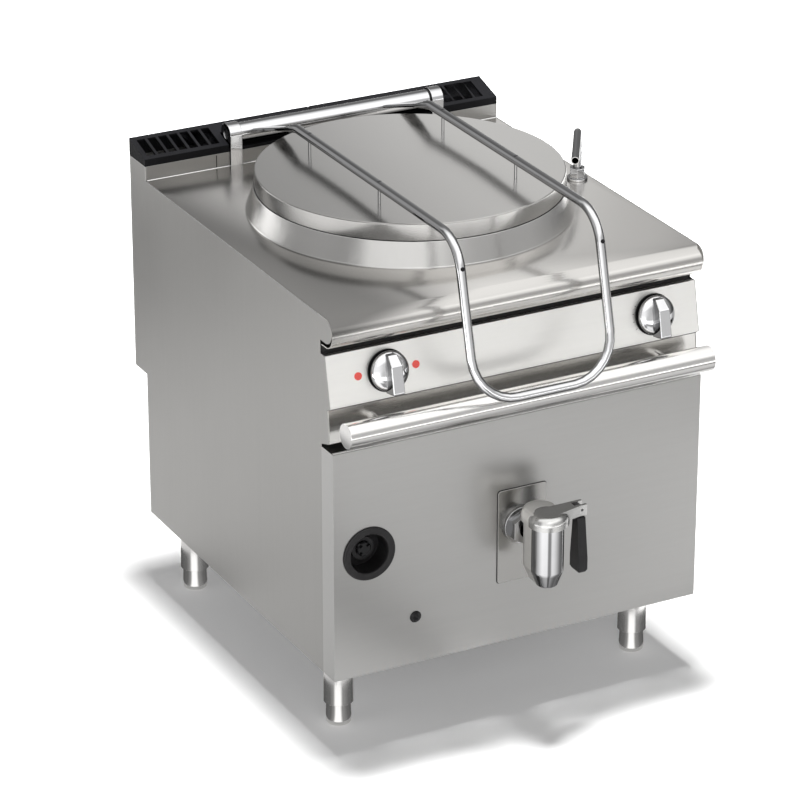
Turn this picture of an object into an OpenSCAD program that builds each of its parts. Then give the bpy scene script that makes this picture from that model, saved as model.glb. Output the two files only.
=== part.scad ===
// Gas boiling pan: a round pan in a steel cabinet, with a sprung lid, a filling spout and a draw-off tap.
// Axes: +X to the right of the user, +Y to the rear wall, +Z up. Z = 0 is the floor.
// The origin is under the centre of the whole length, from the tap's cap to the rear wall.

/* [Cabinet] */
// Width over the side panels
body_w = 800; // [760:10:900]
// Depth from the front panel to the rear wall
body_d = 900; // [880:10:960]
// Height of the worktop above the floor
worktop_h = 900; // [850:5:950]
// Thickness of the outer steel sheet
sheet_t = 2; // [1.5:0.5:3]
// Height of the cabinet's underside above the floor
base_h = 160; // [140:5:180]
// How far the rear wall steps in below the flue
rear_step = 56; // [40:2:80]
// Distance of that step below the worktop
rear_step_drop = 428; // [400:4:460]
// Height of the upstand above the worktop
upstand_h = 30; // [24:1:36]
// Depth of the upstand, front to back
upstand_d = 76; // [72:2:84]

/* [Front] */
// Depth of the front panel's folded box
front_box_d = 48; // [36:2:56]
// Distance of the front panel's top edge below the worktop
front_top_drop = 265; // [260:1:275]
// Radius of the worktop's rounded nose
nose_r = 24.5; // [20:0.5:26]
// How far the nose stands behind the front panel's face
nose_setback = 3; // [0:1:10]
// Distance of the control panel's lower edge below the worktop
control_drop = 177; // [172:1:182]
// Height of the control panel along its slope
control_l = 102; // [96:1:106]
// Lean of the control panel
control_lean = 11.7; // [8:0.1:14]
// Setback of the control panel's lower edge from the front panel's face
control_setback = 11.5; // [9:0.5:16]
// Distance of the fascia's lower edge, behind the rail, below the worktop
fascia_drop = 249; // [244:1:252]
// Gap between the fascia's top edge and the control panel
fascia_gap = 5.5; // [5.5:0.5:14]
// Diameter of the handrail
rail_d = 50; // [40:1:54]
// Distance of the handrail's axis below the worktop
rail_drop = 212; // [206:1:220]
// Reach of the handrail's axis in front of the front panel's face
rail_reach = 38.4; // [34:0.2:46]
// How far each rail end stops short of the cabinet's side
rail_end_gap = 7; // [2:1:20]
// Distance of the rail brackets from the cabinet's sides
rail_bracket_side = 90; // [60:5:150]

/* [Feet] */
// Distance of each foot's axis from the cabinet's side
foot_side = 69; // [60:1:90]
// Distance of the front feet behind the front panel's face
foot_front = 121; // [100:1:140]
// Distance of the rear feet in front of the rear wall
foot_rear = 119; // [110:1:150]
// Diameter of the foot's upper sleeve
foot_sleeve_d = 60; // [54:1:64]
// Diameter of the foot's lower part
foot_tip_d = 50; // [44:1:52]
// Height at which the lower part enters the sleeve
foot_tip_h = 48; // [40:1:60]

/* [Pan and lid] */
// Distance of the pan's axis behind the front panel's face
pan_back = 452; // [446:1:460]
// Inner radius of the pan
pan_r = 290; // [250:2:294]
// Depth of the pan below the collar's lip
pan_depth = 420; // [360:5:440]
// Thickness of the pan's wall
pan_t = 2; // [1.5:0.5:3]
// Width of the collar's lip outside the pan's inner wall
lip_w = 17; // [14:1:20]
// How far the collar spreads from its lip to its foot
collar_flare = 15; // [10:1:20]
// Height of the collar above the worktop
collar_h = 50; // [40:1:56]
// How far the lid's rim stands inside the collar's edge
lid_inset = 2; // [1:0.5:6]
// Height of the lid's rim
lid_h = 35; // [28:1:40]
// Rise of the lid's crown above its rim
lid_crown = 4; // [2:0.5:5]
// Gap between the closed lid and the collar
lid_gap = 0.3; // [0.2:0.1:0.6]

/* [Lid frame and hinge] */
// Diameter of the frame's rod
rod_d = 18.5; // [16:0.5:20]
// Distance of each rod from the centre plane
rod_x = 148.5; // [130:0.5:160]
// Height of the rods' axes above the worktop
rod_h = 125.5; // [120:0.5:130]
// Radius of the bends over the front edge
rod_bend_r = 75; // [60:1:80]
// Distance of those bends' start behind the front panel's face
rod_bend_back = 43; // [30:1:55]
// Lean of the hanging loop
loop_lean = 14.5; // [12:0.5:16]
// Length of the loop below the bends, along its lean
loop_l = 256; // [220:2:262]
// Radius of the loop's corners
loop_corner_r = 88; // [60:2:100]
// Diameter of the four studs between rods and lid
stud_d = 6; // [5:0.5:8]
// Distance of the rear studs behind the pan's axis
stud_rear = 141; // [120:1:150]
// Distance of the front studs before the pan's axis
stud_front = 156; // [140:1:165]
// Width of the rods' flattened ends
flat_w = 28; // [24:1:32]
// Thickness of the rods' flattened ends
flat_t = 7; // [5:0.5:9]
// Height of the hinge axis above the worktop
hinge_h = 61.5; // [59:0.5:64]
// Distance of the hinge axis in front of the rear wall
hinge_rear = 58; // [56:0.5:60]
// Diameter of the hinge tube
tube_d = 39; // [36:1:42]
// Wall of the hinge tube
tube_wall = 2.5; // [2:0.25:3.5]
// Diameter of the post heads
head_d = 46; // [44:1:48]
// Width of each hinge post
post_w = 26; // [22:1:30]
// Depth of each hinge post below its head
post_d = 34; // [28:1:36]
// Position of the left post's outer face left of the centre plane
post_left = 213; // [205:1:225]
// Position of the right post's outer face right of the centre plane
post_right = 272; // [262:1:282]
// Diameter of the hinge shaft
shaft_d = 20; // [16:1:22]
// Radial clearance of running fits
run_fit = 0.05; // [0.02:0.01:0.09]
// Wire diameter of the balance spring
spring_wire = 3; // [2:0.5:3.5]

/* [Flue grilles] */
// Height of the grille's front face
grille_front_h = 15; // [13:1:18]
// Height of the grille's rear edge above the upstand
grille_rear_h = 37; // [32:1:42]
// Wall of the cast grilles
grille_wall = 5; // [4:0.5:7]
// Spacing of the slots
slot_pitch = 23.5; // [22:0.5:30]
// Width of each slot
slot_w = 17.5; // [14:0.5:18]
// Gap between the two grille halves
grille_gap = 1.5; // [1:0.5:4]

/* [Filling spout] */
// Distance of the spout's axis from the cabinet's right side
spout_side = 31; // [28:1:38]
// Distance of the spout's axis before the pan's axis
spout_before = 16; // [8:1:24]
// Outer diameter of the spout tube
spout_d = 17; // [14:0.5:18]
// Wall of the spout tube
spout_wall = 1.5; // [1:0.25:2]
// Height of the arch's crest above the worktop
spout_crest = 111; // [109:1:120]
// Radius of the arch
spout_arch_r = 40; // [34:1:44]
// Reach from the spout's axis to its mouth
spout_reach = 165; // [150:1:168]
// Fall of the spout's arm
spout_fall = 5; // [3:0.5:6]
// Direction of the arm at rest, turned forwards from the left
spout_turn = 58; // [57:1:64]

/* [Draw-off tap] */
// Distance of the tap's axis before the front panel
tap_reach = 100; // [96:1:110]
// Height of the tap's inlet above the floor
tap_h = 407; // [400:1:412]
// Diameter of the tap's cap
tap_cap_d = 92; // [88:1:96]
// Diameter of the tap's body
tap_body_d = 77; // [72:1:80]
// Diameter of the tap's outlet
tap_out_d = 42; // [38:1:46]
// Diameter of the tap's waterway
tap_bore_d = 34; // [28:1:36]
// Drop of the tap's outlet below its inlet
tap_drop = 83; // [78:1:90]
// Rise of the cap's top above the inlet
tap_rise = 69; // [66:1:74]
// Height of the cap
tap_cap_h = 26; // [22:1:30]
// Width of the tap's wall plate
tap_plate_w = 106; // [100:1:112]
// Height of the tap's wall plate
tap_plate_h = 196; // [180:2:210]
// Thickness of the tap's wall plate
tap_plate_t = 3; // [2:0.5:4]
// Distance of the lever's pin from the tap's axis
lever_x = 72; // [68:1:76]
// Length of the tap's lever
lever_l = 132; // [110:1:140]

/* [Controls] */
// Distance of the left knob from the cabinet's left side
knob_left_side = 125; // [110:1:140]
// Distance of the right knob from the cabinet's right side
knob_right_side = 99; // [92:1:120]
// Height of the knobs along the control panel
knob_up = 52.5; // [48:0.5:54]
// Diameter of the knob's skirt
knob_d = 78; // [70:1:82]
// Height of the knob's skirt
knob_skirt_h = 16; // [12:1:20]
// Height of the knob's grip over the control panel
knob_grip_h = 40; // [34:1:44]
// Diameter of the valve spindles
spindle_d = 10; // [8:0.5:12]
// Diameter of the signal lamps
lamp_d = 15; // [12:0.5:18]
// Spacing of the two signal lamps
lamp_span = 121; // [112:1:130]
// Travel of the gas knob when pushed
knob_push = 4; // [2:0.5:5]

/* [Igniter and sight plug] */
// Distance of the igniter from the cabinet's left side
igniter_side = 75; // [70:1:90]
// Height of the igniter above the floor
igniter_h = 416; // [400:1:430]
// Outer diameter of the igniter's bezel
bezel_d = 110; // [104:1:116]
// Inner diameter of the igniter's recess
recess_d = 79; // [74:1:84]
// Depth of the recess
recess_depth = 40; // [34:1:46]
// Diameter of the igniter's button
button_d = 30; // [24:1:34]
// Travel of the igniter's button
button_push = 5; // [3:0.5:6]
// Distance of the sight plug from the cabinet's left side
plug_side = 174; // [160:1:190]
// Height of the sight plug above the floor
plug_h = 259; // [250:1:270]
// Diameter of the sight plug
plug_d = 24; // [20:1:28]

/* [Inner works] */
// Gap between the pan's inner wall and the fire room's outer shell
chamber_gap = 56; // [48:1:58]
// Height of the fire room below the pan's floor
fire_h = 170; // [150:2:176]
// Thickness of the heat insulation
insulation_t = 34; // [24:1:36]
// How far the burner ring stands inside the pan's wall
burner_inset = 110; // [90:2:130]
// Diameter of the burner's tube
burner_d = 40; // [34:1:44]
// Outer diameter of the drain pipe
drain_d = 60; // [50:1:60]
// Outer diameter of the gas pipe
gas_d = 18; // [15:0.5:20]
// Outer diameter of the inlet nipples, a half inch pipe thread
nipple_d = 20.96; // [20.955, 20.96, 26.44]
// Diameter of the water pipe
water_d = 16; // [12:0.5:18]

/* [Hidden] */

$fn = 96;
eps = 0.01;

// Places worked out from the sizes above
front_y = (tap_reach + tap_cap_d / 2 - body_d) / 2;
rear_y = front_y + body_d;
inner_x = body_w / 2 - sheet_t;
front_top_h = worktop_h - front_top_drop;
control_h = worktop_h - control_drop;
fascia_h = worktop_h - fascia_drop;
rail_h = worktop_h - rail_drop;
rear_step_h = worktop_h - rear_step_drop;
knob_left_x = body_w / 2 - knob_left_side;
knob_right_x = body_w / 2 - knob_right_side;
spout_x = body_w / 2 - spout_side;
igniter_x = body_w / 2 - igniter_side;
plug_x = body_w / 2 - plug_side;
collar_lip_r = pan_r + lip_w;
collar_foot_r = collar_lip_r + collar_flare;
lid_r = collar_lip_r - lid_inset;
chamber_r = pan_r + chamber_gap;
burner_r = pan_r - burner_inset;
lower_rear_y = rear_y - rear_step;
riser_y = rear_y - upstand_d;
upstand_z = worktop_h + upstand_h;
pan_y = front_y + pan_back;
nose_y = front_y + nose_setback + nose_r;
nose_z = worktop_h - nose_r;
under_nose_z = worktop_h - 2 * nose_r;
control_y = front_y + control_setback;
control_top_y = control_y + control_l * sin(control_lean);
control_top_z = control_h + control_l * cos(control_lean);
// The fascia leans the same way as the control panel, half as much
fascia_lean = 6.7;
fascia_y = front_y + 15;
fascia_top_z = control_h - fascia_gap;
fascia_top_y = fascia_y + (fascia_top_z - fascia_h) * tan(fascia_lean);
// Depth of the returns folded behind the sheets
fold_d = 18;
rail_y = front_y - rail_reach;
rail_half = body_w / 2 - rail_end_gap;
foot_x = body_w / 2 - foot_side;
foot_ys = [front_y + foot_front, rear_y - foot_rear];
hinge_y = rear_y - hinge_rear;
hinge_z = worktop_h + hinge_h;
rod_z = worktop_h + rod_h;
collar_z = worktop_h + collar_h;
lid_z = collar_z + lid_gap;
lid_top = lid_z + lid_h;
pan_floor_z = collar_z - pan_depth;
chamber_z = pan_floor_z - fire_h;
post_left_x = -post_left;
post_right_x = post_right - post_w;
post_y = hinge_y - head_d / 2;
washer_t = 3.5;
axial_gap = 0.3;
// Radial clearance of pieces that are fixed in a hole
seat_fit = 0.05;
tube_x0 = post_left_x + post_w + axial_gap;
tube_x1 = post_right_x - washer_t - axial_gap;
tap_y = front_y - tap_reach;
tap_out_z = tap_h - tap_drop;
tap_top_z = tap_h + tap_rise;
spout_y = pan_y - spout_before;
bend_y = front_y + rod_bend_back;
bend_turn = 90 - loop_lean;
leg_y = bend_y - rod_bend_r * sin(bend_turn);
leg_z = rod_z - rod_bend_r * (1 - cos(bend_turn));
leg_l = loop_l - loop_corner_r;

// Outer steel

// Rod of a circle swept along X, from x0 to x1
module rod_x_axis(x0, x1, d) {
    translate([x0, 0, 0]) rotate([0, 90, 0]) cylinder(d = d, h = x1 - x0);
}

// Rod along Y, from y0 to y1
module rod_y_axis(y0, y1, d) {
    translate([0, y0, 0]) rotate([-90, 0, 0]) cylinder(d = d, h = y1 - y0);
}

// Turns a profile drawn as [y, z] into a plate that runs from x0 to x1
module along_x(x0, x1) {
    translate([x0, 0, 0]) rotate([90, 0, 90]) linear_extrude(x1 - x0) children();
}

// Lays children on the control panel's outer face: X to the right, Y up the slope, Z out to the user
module on_control(x, up) {
    translate([x, control_y, control_h]) rotate([90 - control_lean, 0, 0]) translate([0, up, 0]) children();
}

// Side outline, seen from the right, as [y, z]
module side_outline() {
    polygon([
        [front_y + front_box_d, base_h], [front_y + front_box_d, front_top_h + 5],
        [fascia_y, fascia_h], [fascia_top_y, fascia_top_z],
        [control_y, control_h], [control_top_y, control_top_z],
        [control_top_y + fold_d, control_top_z], [control_top_y + fold_d, under_nose_z],
        [nose_y, under_nose_z], [nose_y, worktop_h], [riser_y, worktop_h], [riser_y, upstand_z],
        [rear_y, upstand_z], [rear_y, rear_step_h], [lower_rear_y, rear_step_h], [lower_rear_y, base_h]
    ]);
    translate([nose_y, nose_z]) circle(r = nose_r);
}

module side_panel() {
    fold_w = 20;
    along_x(-body_w / 2, -inner_x) side_outline();
    // Bottom return, on which the base frame's ends stand
    translate([-inner_x, front_y + front_box_d + fold_d, base_h])
        cube([fold_w, lower_rear_y - front_y - front_box_d - 2 * fold_d, sheet_t]);
}

module side_panel_left() {
    color([0.62, 0.61, 0.59]) side_panel();
}

module side_panel_right() {
    color([0.62, 0.61, 0.59]) mirror([1, 0, 0]) side_panel();
}

module rear_panel() {
    color([0.6, 0.6, 0.58]) difference() {
        along_x(-inner_x, inner_x) polygon([
            [lower_rear_y, base_h], [lower_rear_y, rear_step_h], [rear_y, rear_step_h], [rear_y, upstand_z],
            [rear_y - sheet_t, upstand_z], [rear_y - sheet_t, rear_step_h + sheet_t],
            [lower_rear_y - sheet_t, rear_step_h + sheet_t], [lower_rear_y - sheet_t, base_h]
        ]);
        // Holes for the gas and water inlets
        translate([gas_inlet_x, 0, inlet_z])
            rod_y_axis(lower_rear_y - 2 * sheet_t, lower_rear_y + eps, gas_d + 1);
        translate([water_inlet_x, 0, inlet_z])
            rod_y_axis(lower_rear_y - 2 * sheet_t, lower_rear_y + eps, water_d + 1);
        // Vent louvres of the lower rear wall
        for (i = [0 : 5])
            translate([-vent_w / 2, lower_rear_y - 2 * sheet_t, vent_z + i * vent_pitch])
                cube([vent_w, 3 * sheet_t, vent_slot]);
    }
}

vent_w = 300;
vent_rise = 50;
vent_z = base_h + vent_rise;
vent_pitch = 16;
vent_slot = 6;
inlet_side = 150;
inlet_rise = 180;
inlet_z = base_h + inlet_rise;
gas_inlet_x = -(body_w / 2 - inlet_side);
water_inlet_x = body_w / 2 - inlet_side;
frame_bar_w = 60;
frame_bar_h = 30;

module base_frame() {
    front_end = front_y + front_box_d + fold_d;
    rear_end = lower_rear_y - sheet_t - fold_d;
    z0 = base_h;
    color([0.5, 0.5, 0.5]) difference() {
        union() {
            // Rails along the sides, over the feet
            for (side = [-1, 1])
                translate([side * foot_x - frame_bar_w / 2, front_end, z0])
                    cube([frame_bar_w, rear_end - front_end, frame_bar_h]);
            // Cross rails between them
            for (y = foot_ys)
                translate([-foot_x, y - frame_bar_w / 2, z0])
                    cube([2 * foot_x, frame_bar_w, frame_bar_h]);
            // Outriggers to the bottom returns of the side panels
            for (y = foot_ys)
                translate([-inner_x, y - frame_bar_w / 2, z0 + sheet_t])
                    cube([2 * inner_x, frame_bar_w, frame_bar_h - sheet_t]);
        }
        for (side = [-1, 1]) for (y = foot_ys)
            translate([side * foot_x, y, z0 - eps])
                cylinder(d = foot_screw_d + 2 * seat_fit, h = frame_bar_h + 2 * eps);
    }
}

foot_screw_d = 12;
foot_tip_h_in = 20;

module at_feet() {
    for (side = [-1, 1]) for (y = foot_ys) translate([side * foot_x, y, 0]) children();
}

module foot_sleeves() {
    color([0.7, 0.69, 0.67]) at_feet() difference() {
        union() {
            translate([0, 0, foot_tip_h]) cylinder(d = foot_sleeve_d, h = base_h - foot_tip_h);
            // Stud that screws into the base frame
            translate([0, 0, base_h - eps]) cylinder(d = foot_screw_d, h = frame_bar_h * 0.8);
        }
        translate([0, 0, foot_tip_h - eps]) cylinder(d = foot_tip_d, h = foot_tip_h_in + eps);
    }
}

module foot_tips() {
    color([0.66, 0.65, 0.63]) at_feet() rotate_extrude() polygon([
        [0, 0], [foot_tip_d / 2 - 4, 0], [foot_tip_d / 2, 4],
        [foot_tip_d / 2, foot_tip_h + foot_tip_h_in], [0, foot_tip_h + foot_tip_h_in]
    ]);
}

// Front box with a folded rim and holes for the tap, the igniter and the sight plug
module front_panel() {
    color([0.66, 0.66, 0.65]) difference() {
        translate([-body_w / 2, front_y, base_h]) cube([body_w, front_box_d, front_top_h - base_h]);
        translate([-inner_x, front_y + sheet_t, base_h + sheet_t])
            cube([2 * inner_x, front_box_d, front_top_h - base_h - 2 * sheet_t]);
        translate([0, 0, tap_h]) rod_y_axis(front_y - 1, front_y + 2 * sheet_t, drain_d + 2 * seat_fit);
        translate([-igniter_x, 0, igniter_h])
            rod_y_axis(front_y - 1, front_y + 2 * sheet_t, recess_d + 2 * bezel_wall + 2 * seat_fit);
        translate([-plug_x, 0, plug_h])
            rod_y_axis(front_y - 1, front_y + 2 * sheet_t, plug_stem_d + 2 * seat_fit);
    }
}

module rail_fascia() {
    color([0.7, 0.7, 0.68]) along_x(-inner_x, inner_x) polygon([
        [fascia_y, fascia_h], [fascia_top_y, fascia_top_z], [fascia_top_y + fold_d, fascia_top_z],
        [fascia_top_y + fold_d, fascia_top_z - sheet_t], [fascia_top_y + sheet_t, fascia_top_z - sheet_t],
        [fascia_y + sheet_t, fascia_h + sheet_t], [fascia_y + 2 * fold_d, fascia_h + sheet_t],
        [fascia_y + 2 * fold_d, fascia_h]
    ]);
}

// A hollow rail with two end caps, made as one closed tube
module handrail() {
    rail_wall = 2;
    color([0.75, 0.75, 0.73]) translate([0, rail_y, rail_h]) difference() {
        rod_x_axis(-rail_half, rail_half, rail_d);
        rod_x_axis(-rail_half + rail_wall, rail_half - rail_wall, rail_d - 2 * rail_wall);
    }
}

module rail_brackets() {
    stem_d = 20;
    color([0.7, 0.7, 0.68]) for (side = [-1, 1]) difference() {
        translate([side * (body_w / 2 - rail_bracket_side), 0, rail_h])
            rod_y_axis(rail_y, fascia_top_y + fold_d / 2, stem_d);
        translate([0, rail_y, rail_h]) rod_x_axis(-rail_half, rail_half, rail_d);
        // The stem ends on the fascia's slope
        along_x(-inner_x, inner_x) polygon([
            [fascia_y, fascia_h], [fascia_top_y, fascia_top_z],
            [fascia_top_y + 2 * fold_d, fascia_top_z], [fascia_top_y + 2 * fold_d, fascia_h]
        ]);
    }
}

// Slanted panel with a fold along each edge; holes for spindles and lamps
module control_panel() {
    color([0.84, 0.84, 0.83]) difference() {
        on_control(0, 0) {
            translate([-inner_x, 0, -sheet_t]) cube([2 * inner_x, control_l, sheet_t]);
            translate([-inner_x, 0, -fold_d]) cube([2 * inner_x, sheet_t, fold_d]);
            translate([-inner_x, control_l - sheet_t, -fold_d]) cube([2 * inner_x, sheet_t, fold_d]);
        }
        for (x = [-knob_left_x, knob_right_x]) on_control(x, knob_up)
            translate([0, 0, -2 * sheet_t]) cylinder(d = spindle_d + 4, h = 3 * sheet_t);
        for (side = [-1, 1]) on_control(-knob_left_x + side * lamp_span / 2, knob_up)
            translate([0, 0, -2 * sheet_t]) cylinder(d = lamp_hole_d, h = 3 * sheet_t);
    }
}

lamp_hole_d = 10;
beam_h = 55;

// Two folded beams between the side panels, behind the gaps over the control panel and under the fascia
module cross_beams() {
    upper_y = control_top_y + fold_d;
    lower_y = fascia_y + 2 * fold_d;
    color([0.5, 0.5, 0.5]) along_x(-inner_x, inner_x) {
        translate([upper_y, under_nose_z - beam_h]) square([sheet_t, beam_h]);
        translate([nose_y, under_nose_z - sheet_t]) square([upper_y + sheet_t - nose_y, sheet_t]);
        translate([lower_y, fascia_h - beam_h / 2]) square([sheet_t, beam_h]);
    }
}

// Worktop sheet with its rolled front nose
module worktop() {
    return_d = 16;
    color([0.6, 0.59, 0.57]) difference() {
        along_x(-inner_x, inner_x) union() {
            translate([nose_y, worktop_h - sheet_t]) square([riser_y - nose_y, sheet_t]);
            translate([nose_y, under_nose_z]) square([return_d, sheet_t]);
            difference() {
                translate([nose_y, nose_z]) circle(r = nose_r);
                translate([nose_y, nose_z]) circle(r = nose_r - sheet_t);
                translate([nose_y, under_nose_z - 1]) square([nose_r + 2, 2 * nose_r + 2]);
            }
        }
        translate([0, pan_y, worktop_h - 2 * sheet_t]) cylinder(r = collar_foot_r - 12, h = 3 * sheet_t);
        post_slots();
        translate([spout_x, spout_y, worktop_h - 2 * sheet_t]) cylinder(d = spout_thread_d, h = 3 * sheet_t);
    }
}

spout_thread_d = 18;
post_slot_gap = 0.3;

// Room for the two hinge posts through the worktop and the riser
module post_slots() {
    for (x = [post_left_x, post_right_x])
        translate([x - post_slot_gap, post_y - post_slot_gap, 0])
            cube([post_w + 2 * post_slot_gap, post_d + 2 * post_slot_gap, 2 * worktop_h]);
}

// Flue

duct_w = 300;
duct_t = 1.5;
riser_lip = 10;

// Channel behind the worktop that carries the grilles
module flue_riser() {
    color([0.6, 0.59, 0.57]) difference() {
        union() {
            translate([-inner_x, riser_y, worktop_h - sheet_t])
                cube([2 * inner_x, sheet_t, upstand_h + sheet_t]);
            translate([-inner_x, riser_y, upstand_z - sheet_t]) cube([2 * inner_x, riser_lip, sheet_t]);
            translate([-inner_x, riser_y, worktop_h - sheet_t])
                cube([2 * inner_x, upstand_d - sheet_t, sheet_t]);
        }
        translate([-duct_w / 2, riser_y + post_d + riser_lip, worktop_h - 2 * sheet_t])
            cube([duct_w, upstand_d - post_d - riser_lip - sheet_t - eps, 3 * sheet_t]);
        post_slots();
    }
}

// Sheet duct from the chamber's rear up to the riser
module flue_duct() {
    z0 = rear_step_h + sheet_t;
    z1 = worktop_h - sheet_t;
    y0 = riser_y + post_d + riser_lip - duct_t - sheet_t;
    y1 = rear_y - sheet_t;
    color([0.55, 0.55, 0.55]) difference() {
        union() {
            translate([-duct_w / 2, y0, z0]) cube([duct_w, y1 - y0, z1 - z0]);
            translate([-throat_w / 2, pan_y, throat_z]) cube([throat_w, y0 - pan_y + eps, throat_h]);
        }
        translate([-duct_w / 2 + duct_t, y0 + duct_t, z0 + duct_t])
            cube([duct_w - 2 * duct_t, y1 - y0 - 2 * duct_t, z1 - z0]);
        translate([-throat_w / 2 + duct_t, pan_y - 1, throat_z + duct_t])
            cube([throat_w - 2 * duct_t, y0 - pan_y + 2 * duct_t + 1, throat_h - 2 * duct_t]);
        translate([0, pan_y, throat_z - 1]) cylinder(r = chamber_r + seat_fit, h = throat_h + 2);
    }
}

throat_w = 200;
throat_h = 100;
throat_rise = 200;
throat_z = rear_step_h + throat_rise;

// Wedge of the grille from x0 to x1: low in front, high at the rear
module grille_wedge(x0, x1, inset) {
    low = upstand_z + grille_front_h - inset;
    high = upstand_z + grille_rear_h - inset;
    along_x(x0 + inset, x1 - inset) polygon([
        [riser_y + inset, upstand_z - (inset > 0 ? 1 : 0)], [riser_y + inset, low], [rear_y - inset, high],
        [rear_y - inset, upstand_z - (inset > 0 ? 1 : 0)]
    ]);
}

// Trough in which the hinge tube and the post heads turn
trough_gap = 2;
// Height of the cuts that open upwards through the castings
trough_cut = 2 * grille_rear_h;
trough_z = hinge_z - head_d / 2 - trough_gap;
trough_y = hinge_y + head_d / 2 + trough_gap;

module grille(x0, x1, trough_x0, trough_x1, slots_x0, slots_x1) {
    slot_edge = 11;
    slot_l = upstand_d - 2 * slot_edge;
    color([0.12, 0.12, 0.13]) difference() {
        grille_wedge(x0, x1, 0);
        difference() {
            grille_wedge(x0, x1, grille_wall);
            // Floor and rear wall of the trough stay solid
            translate([trough_x0 - grille_wall, riser_y, trough_z - grille_wall])
                cube([trough_x1 - trough_x0 + 2 * grille_wall, trough_y + grille_wall - riser_y, trough_cut]);
        }
        translate([trough_x0, riser_y - 1, trough_z])
            cube([trough_x1 - trough_x0, trough_y - riser_y + 1, trough_cut]);
        for (x = [slots_x0 : slot_pitch : slots_x1])
            translate([x - slot_w / 2, riser_y + slot_edge, upstand_z + 3])
                cube([slot_w, slot_l, trough_cut]);
        post_slots();
    }
}

slot_margin = 20;

module grille_left() {
    grille(-body_w / 2, -grille_gap / 2, post_left_x - trough_gap, 0,
        -body_w / 2 + slot_margin, post_left_x - trough_gap - slot_margin);
}

module grille_right() {
    grille(grille_gap / 2, body_w / 2, 0, post_right + trough_gap,
        post_right + trough_gap + slot_margin, body_w / 2 - slot_margin);
}

// Pan and fire

lip_t = 2.5;

module collar() {
    lip_in = pan_r + pan_t;
    color([0.78, 0.77, 0.75]) translate([0, pan_y, 0]) rotate_extrude($fn = 180) polygon([
        [collar_foot_r + 4, worktop_h], [collar_foot_r + 4, worktop_h + 1], [collar_foot_r, worktop_h + 4],
        [collar_lip_r, collar_z - 1], [collar_lip_r - 1, collar_z], [lip_in, collar_z],
        [lip_in, collar_z - lip_t], [collar_lip_r - lip_t - 0.5, collar_z - lip_t],
        [collar_foot_r - lip_t - 1, worktop_h]
    ]);
}

outlet_edge = 50;
pan_outlet_y = pan_r - outlet_edge;

module pan() {
    flange_w = 9;
    top = collar_z - lip_t;
    color([0.8, 0.8, 0.79]) translate([0, pan_y, 0]) difference() {
        rotate_extrude($fn = 180) polygon([
            [0, pan_floor_z - pan_t], [pan_r - 18, pan_floor_z - pan_t], [pan_r + pan_t - 5, pan_floor_z + 3],
            [pan_r + pan_t, pan_floor_z + 16], [pan_r + pan_t, top - pan_t], [pan_r + flange_w, top - pan_t],
            [pan_r + flange_w, top], [pan_r + pan_t, top], [pan_r + pan_t, collar_z], [pan_r, collar_z],
            [pan_r, pan_floor_z + 16], [pan_r - 5, pan_floor_z + 5], [pan_r - 18, pan_floor_z],
            [0, pan_floor_z]
        ]);
        translate([0, -pan_outlet_y, pan_floor_z - 2 * pan_t])
            cylinder(d = drain_d - 2 * drain_wall, h = 4 * pan_t);
    }
}

chamber_t = 2;
chamber_top = worktop_h - sheet_t - 20;

module insulation() {
    inner = chamber_r - chamber_t - insulation_t;
    color([0.85, 0.82, 0.7]) difference() {
        translate([0, pan_y, pan_floor_z + 20]) difference() {
            cylinder(r = chamber_r - chamber_t, h = chamber_top - pan_floor_z - 20);
            translate([0, 0, -1]) cylinder(r = inner, h = chamber_top - pan_floor_z);
        }
        translate([-throat_w / 2, pan_y, throat_z]) cube([throat_w, chamber_r, throat_h]);
    }
}

// Outer shell of the fire room, with a floor, a flue window and a hole for the drain
module chamber() {
    color([0.58, 0.58, 0.57]) difference() {
        translate([0, pan_y, chamber_z]) difference() {
            cylinder(r = chamber_r, h = chamber_top - chamber_z);
            translate([0, 0, chamber_t]) cylinder(r = chamber_r - chamber_t, h = chamber_top);
            // Air intake below the burner
            translate([0, 0, -1]) cylinder(r = burner_r - intake_inset, h = 4 * chamber_t);
        }
        translate([-throat_w / 2 + duct_t, pan_y, throat_z + duct_t])
            cube([throat_w - 2 * duct_t, chamber_r + 5, throat_h - 2 * duct_t]);
        translate([0, 0, tap_h]) rod_y_axis(pan_y - chamber_r - 10, pan_y - pan_outlet_y, drain_d);
        translate([burner_feed_x, 0, burner_z]) rod_y_axis(pan_y - chamber_r - 10, pan_y, gas_d + 2);
    }
    // Four legs down to the side rails of the base frame
    leg_w = 24;
    for (side = [-1, 1]) for (way = [-leg_step, leg_step])
        color([0.5, 0.5, 0.5])
            translate([side * (chamber_r - leg_w) - leg_w / 2, pan_y + way - leg_w / 2, base_h + frame_bar_h])
                cube([leg_w, leg_w, chamber_z - base_h - frame_bar_h]);
}

intake_inset = 60;
leg_step = 60;
burner_rise = 75;
burner_leg_d = 12;
burner_z = chamber_z + burner_rise;
burner_feed_x = -80;
port_d = 5;
port_count = 24;

// Ring burner with a cross tube, a feed tube and legs on the chamber's floor
module burner() {
    color([0.45, 0.44, 0.43]) translate([0, pan_y, burner_z]) difference() {
        union() {
            rotate_extrude() translate([burner_r, 0]) circle(d = burner_d);
            rod_x_axis(-burner_r, burner_r, burner_d * 0.8);
            for (a = [30, 150, 270]) rotate([0, 0, a])
                translate([burner_r, 0, chamber_z + chamber_t - burner_z])
                    cylinder(d = burner_leg_d, h = burner_z - chamber_z - chamber_t);
            // Feed from the front, ending at the gas pipe
            translate([burner_feed_x, 0, 0]) rod_y_axis(-feed_end, -burner_r * 0.8, gas_d);
        }
        for (i = [0 : port_count - 1]) rotate([0, 0, i * 360 / port_count])
            translate([burner_r, 0, 0]) cylinder(d = port_d, h = burner_d);
        rotate_extrude() translate([burner_r, 0]) circle(d = burner_d - 5);
    }
}

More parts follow.
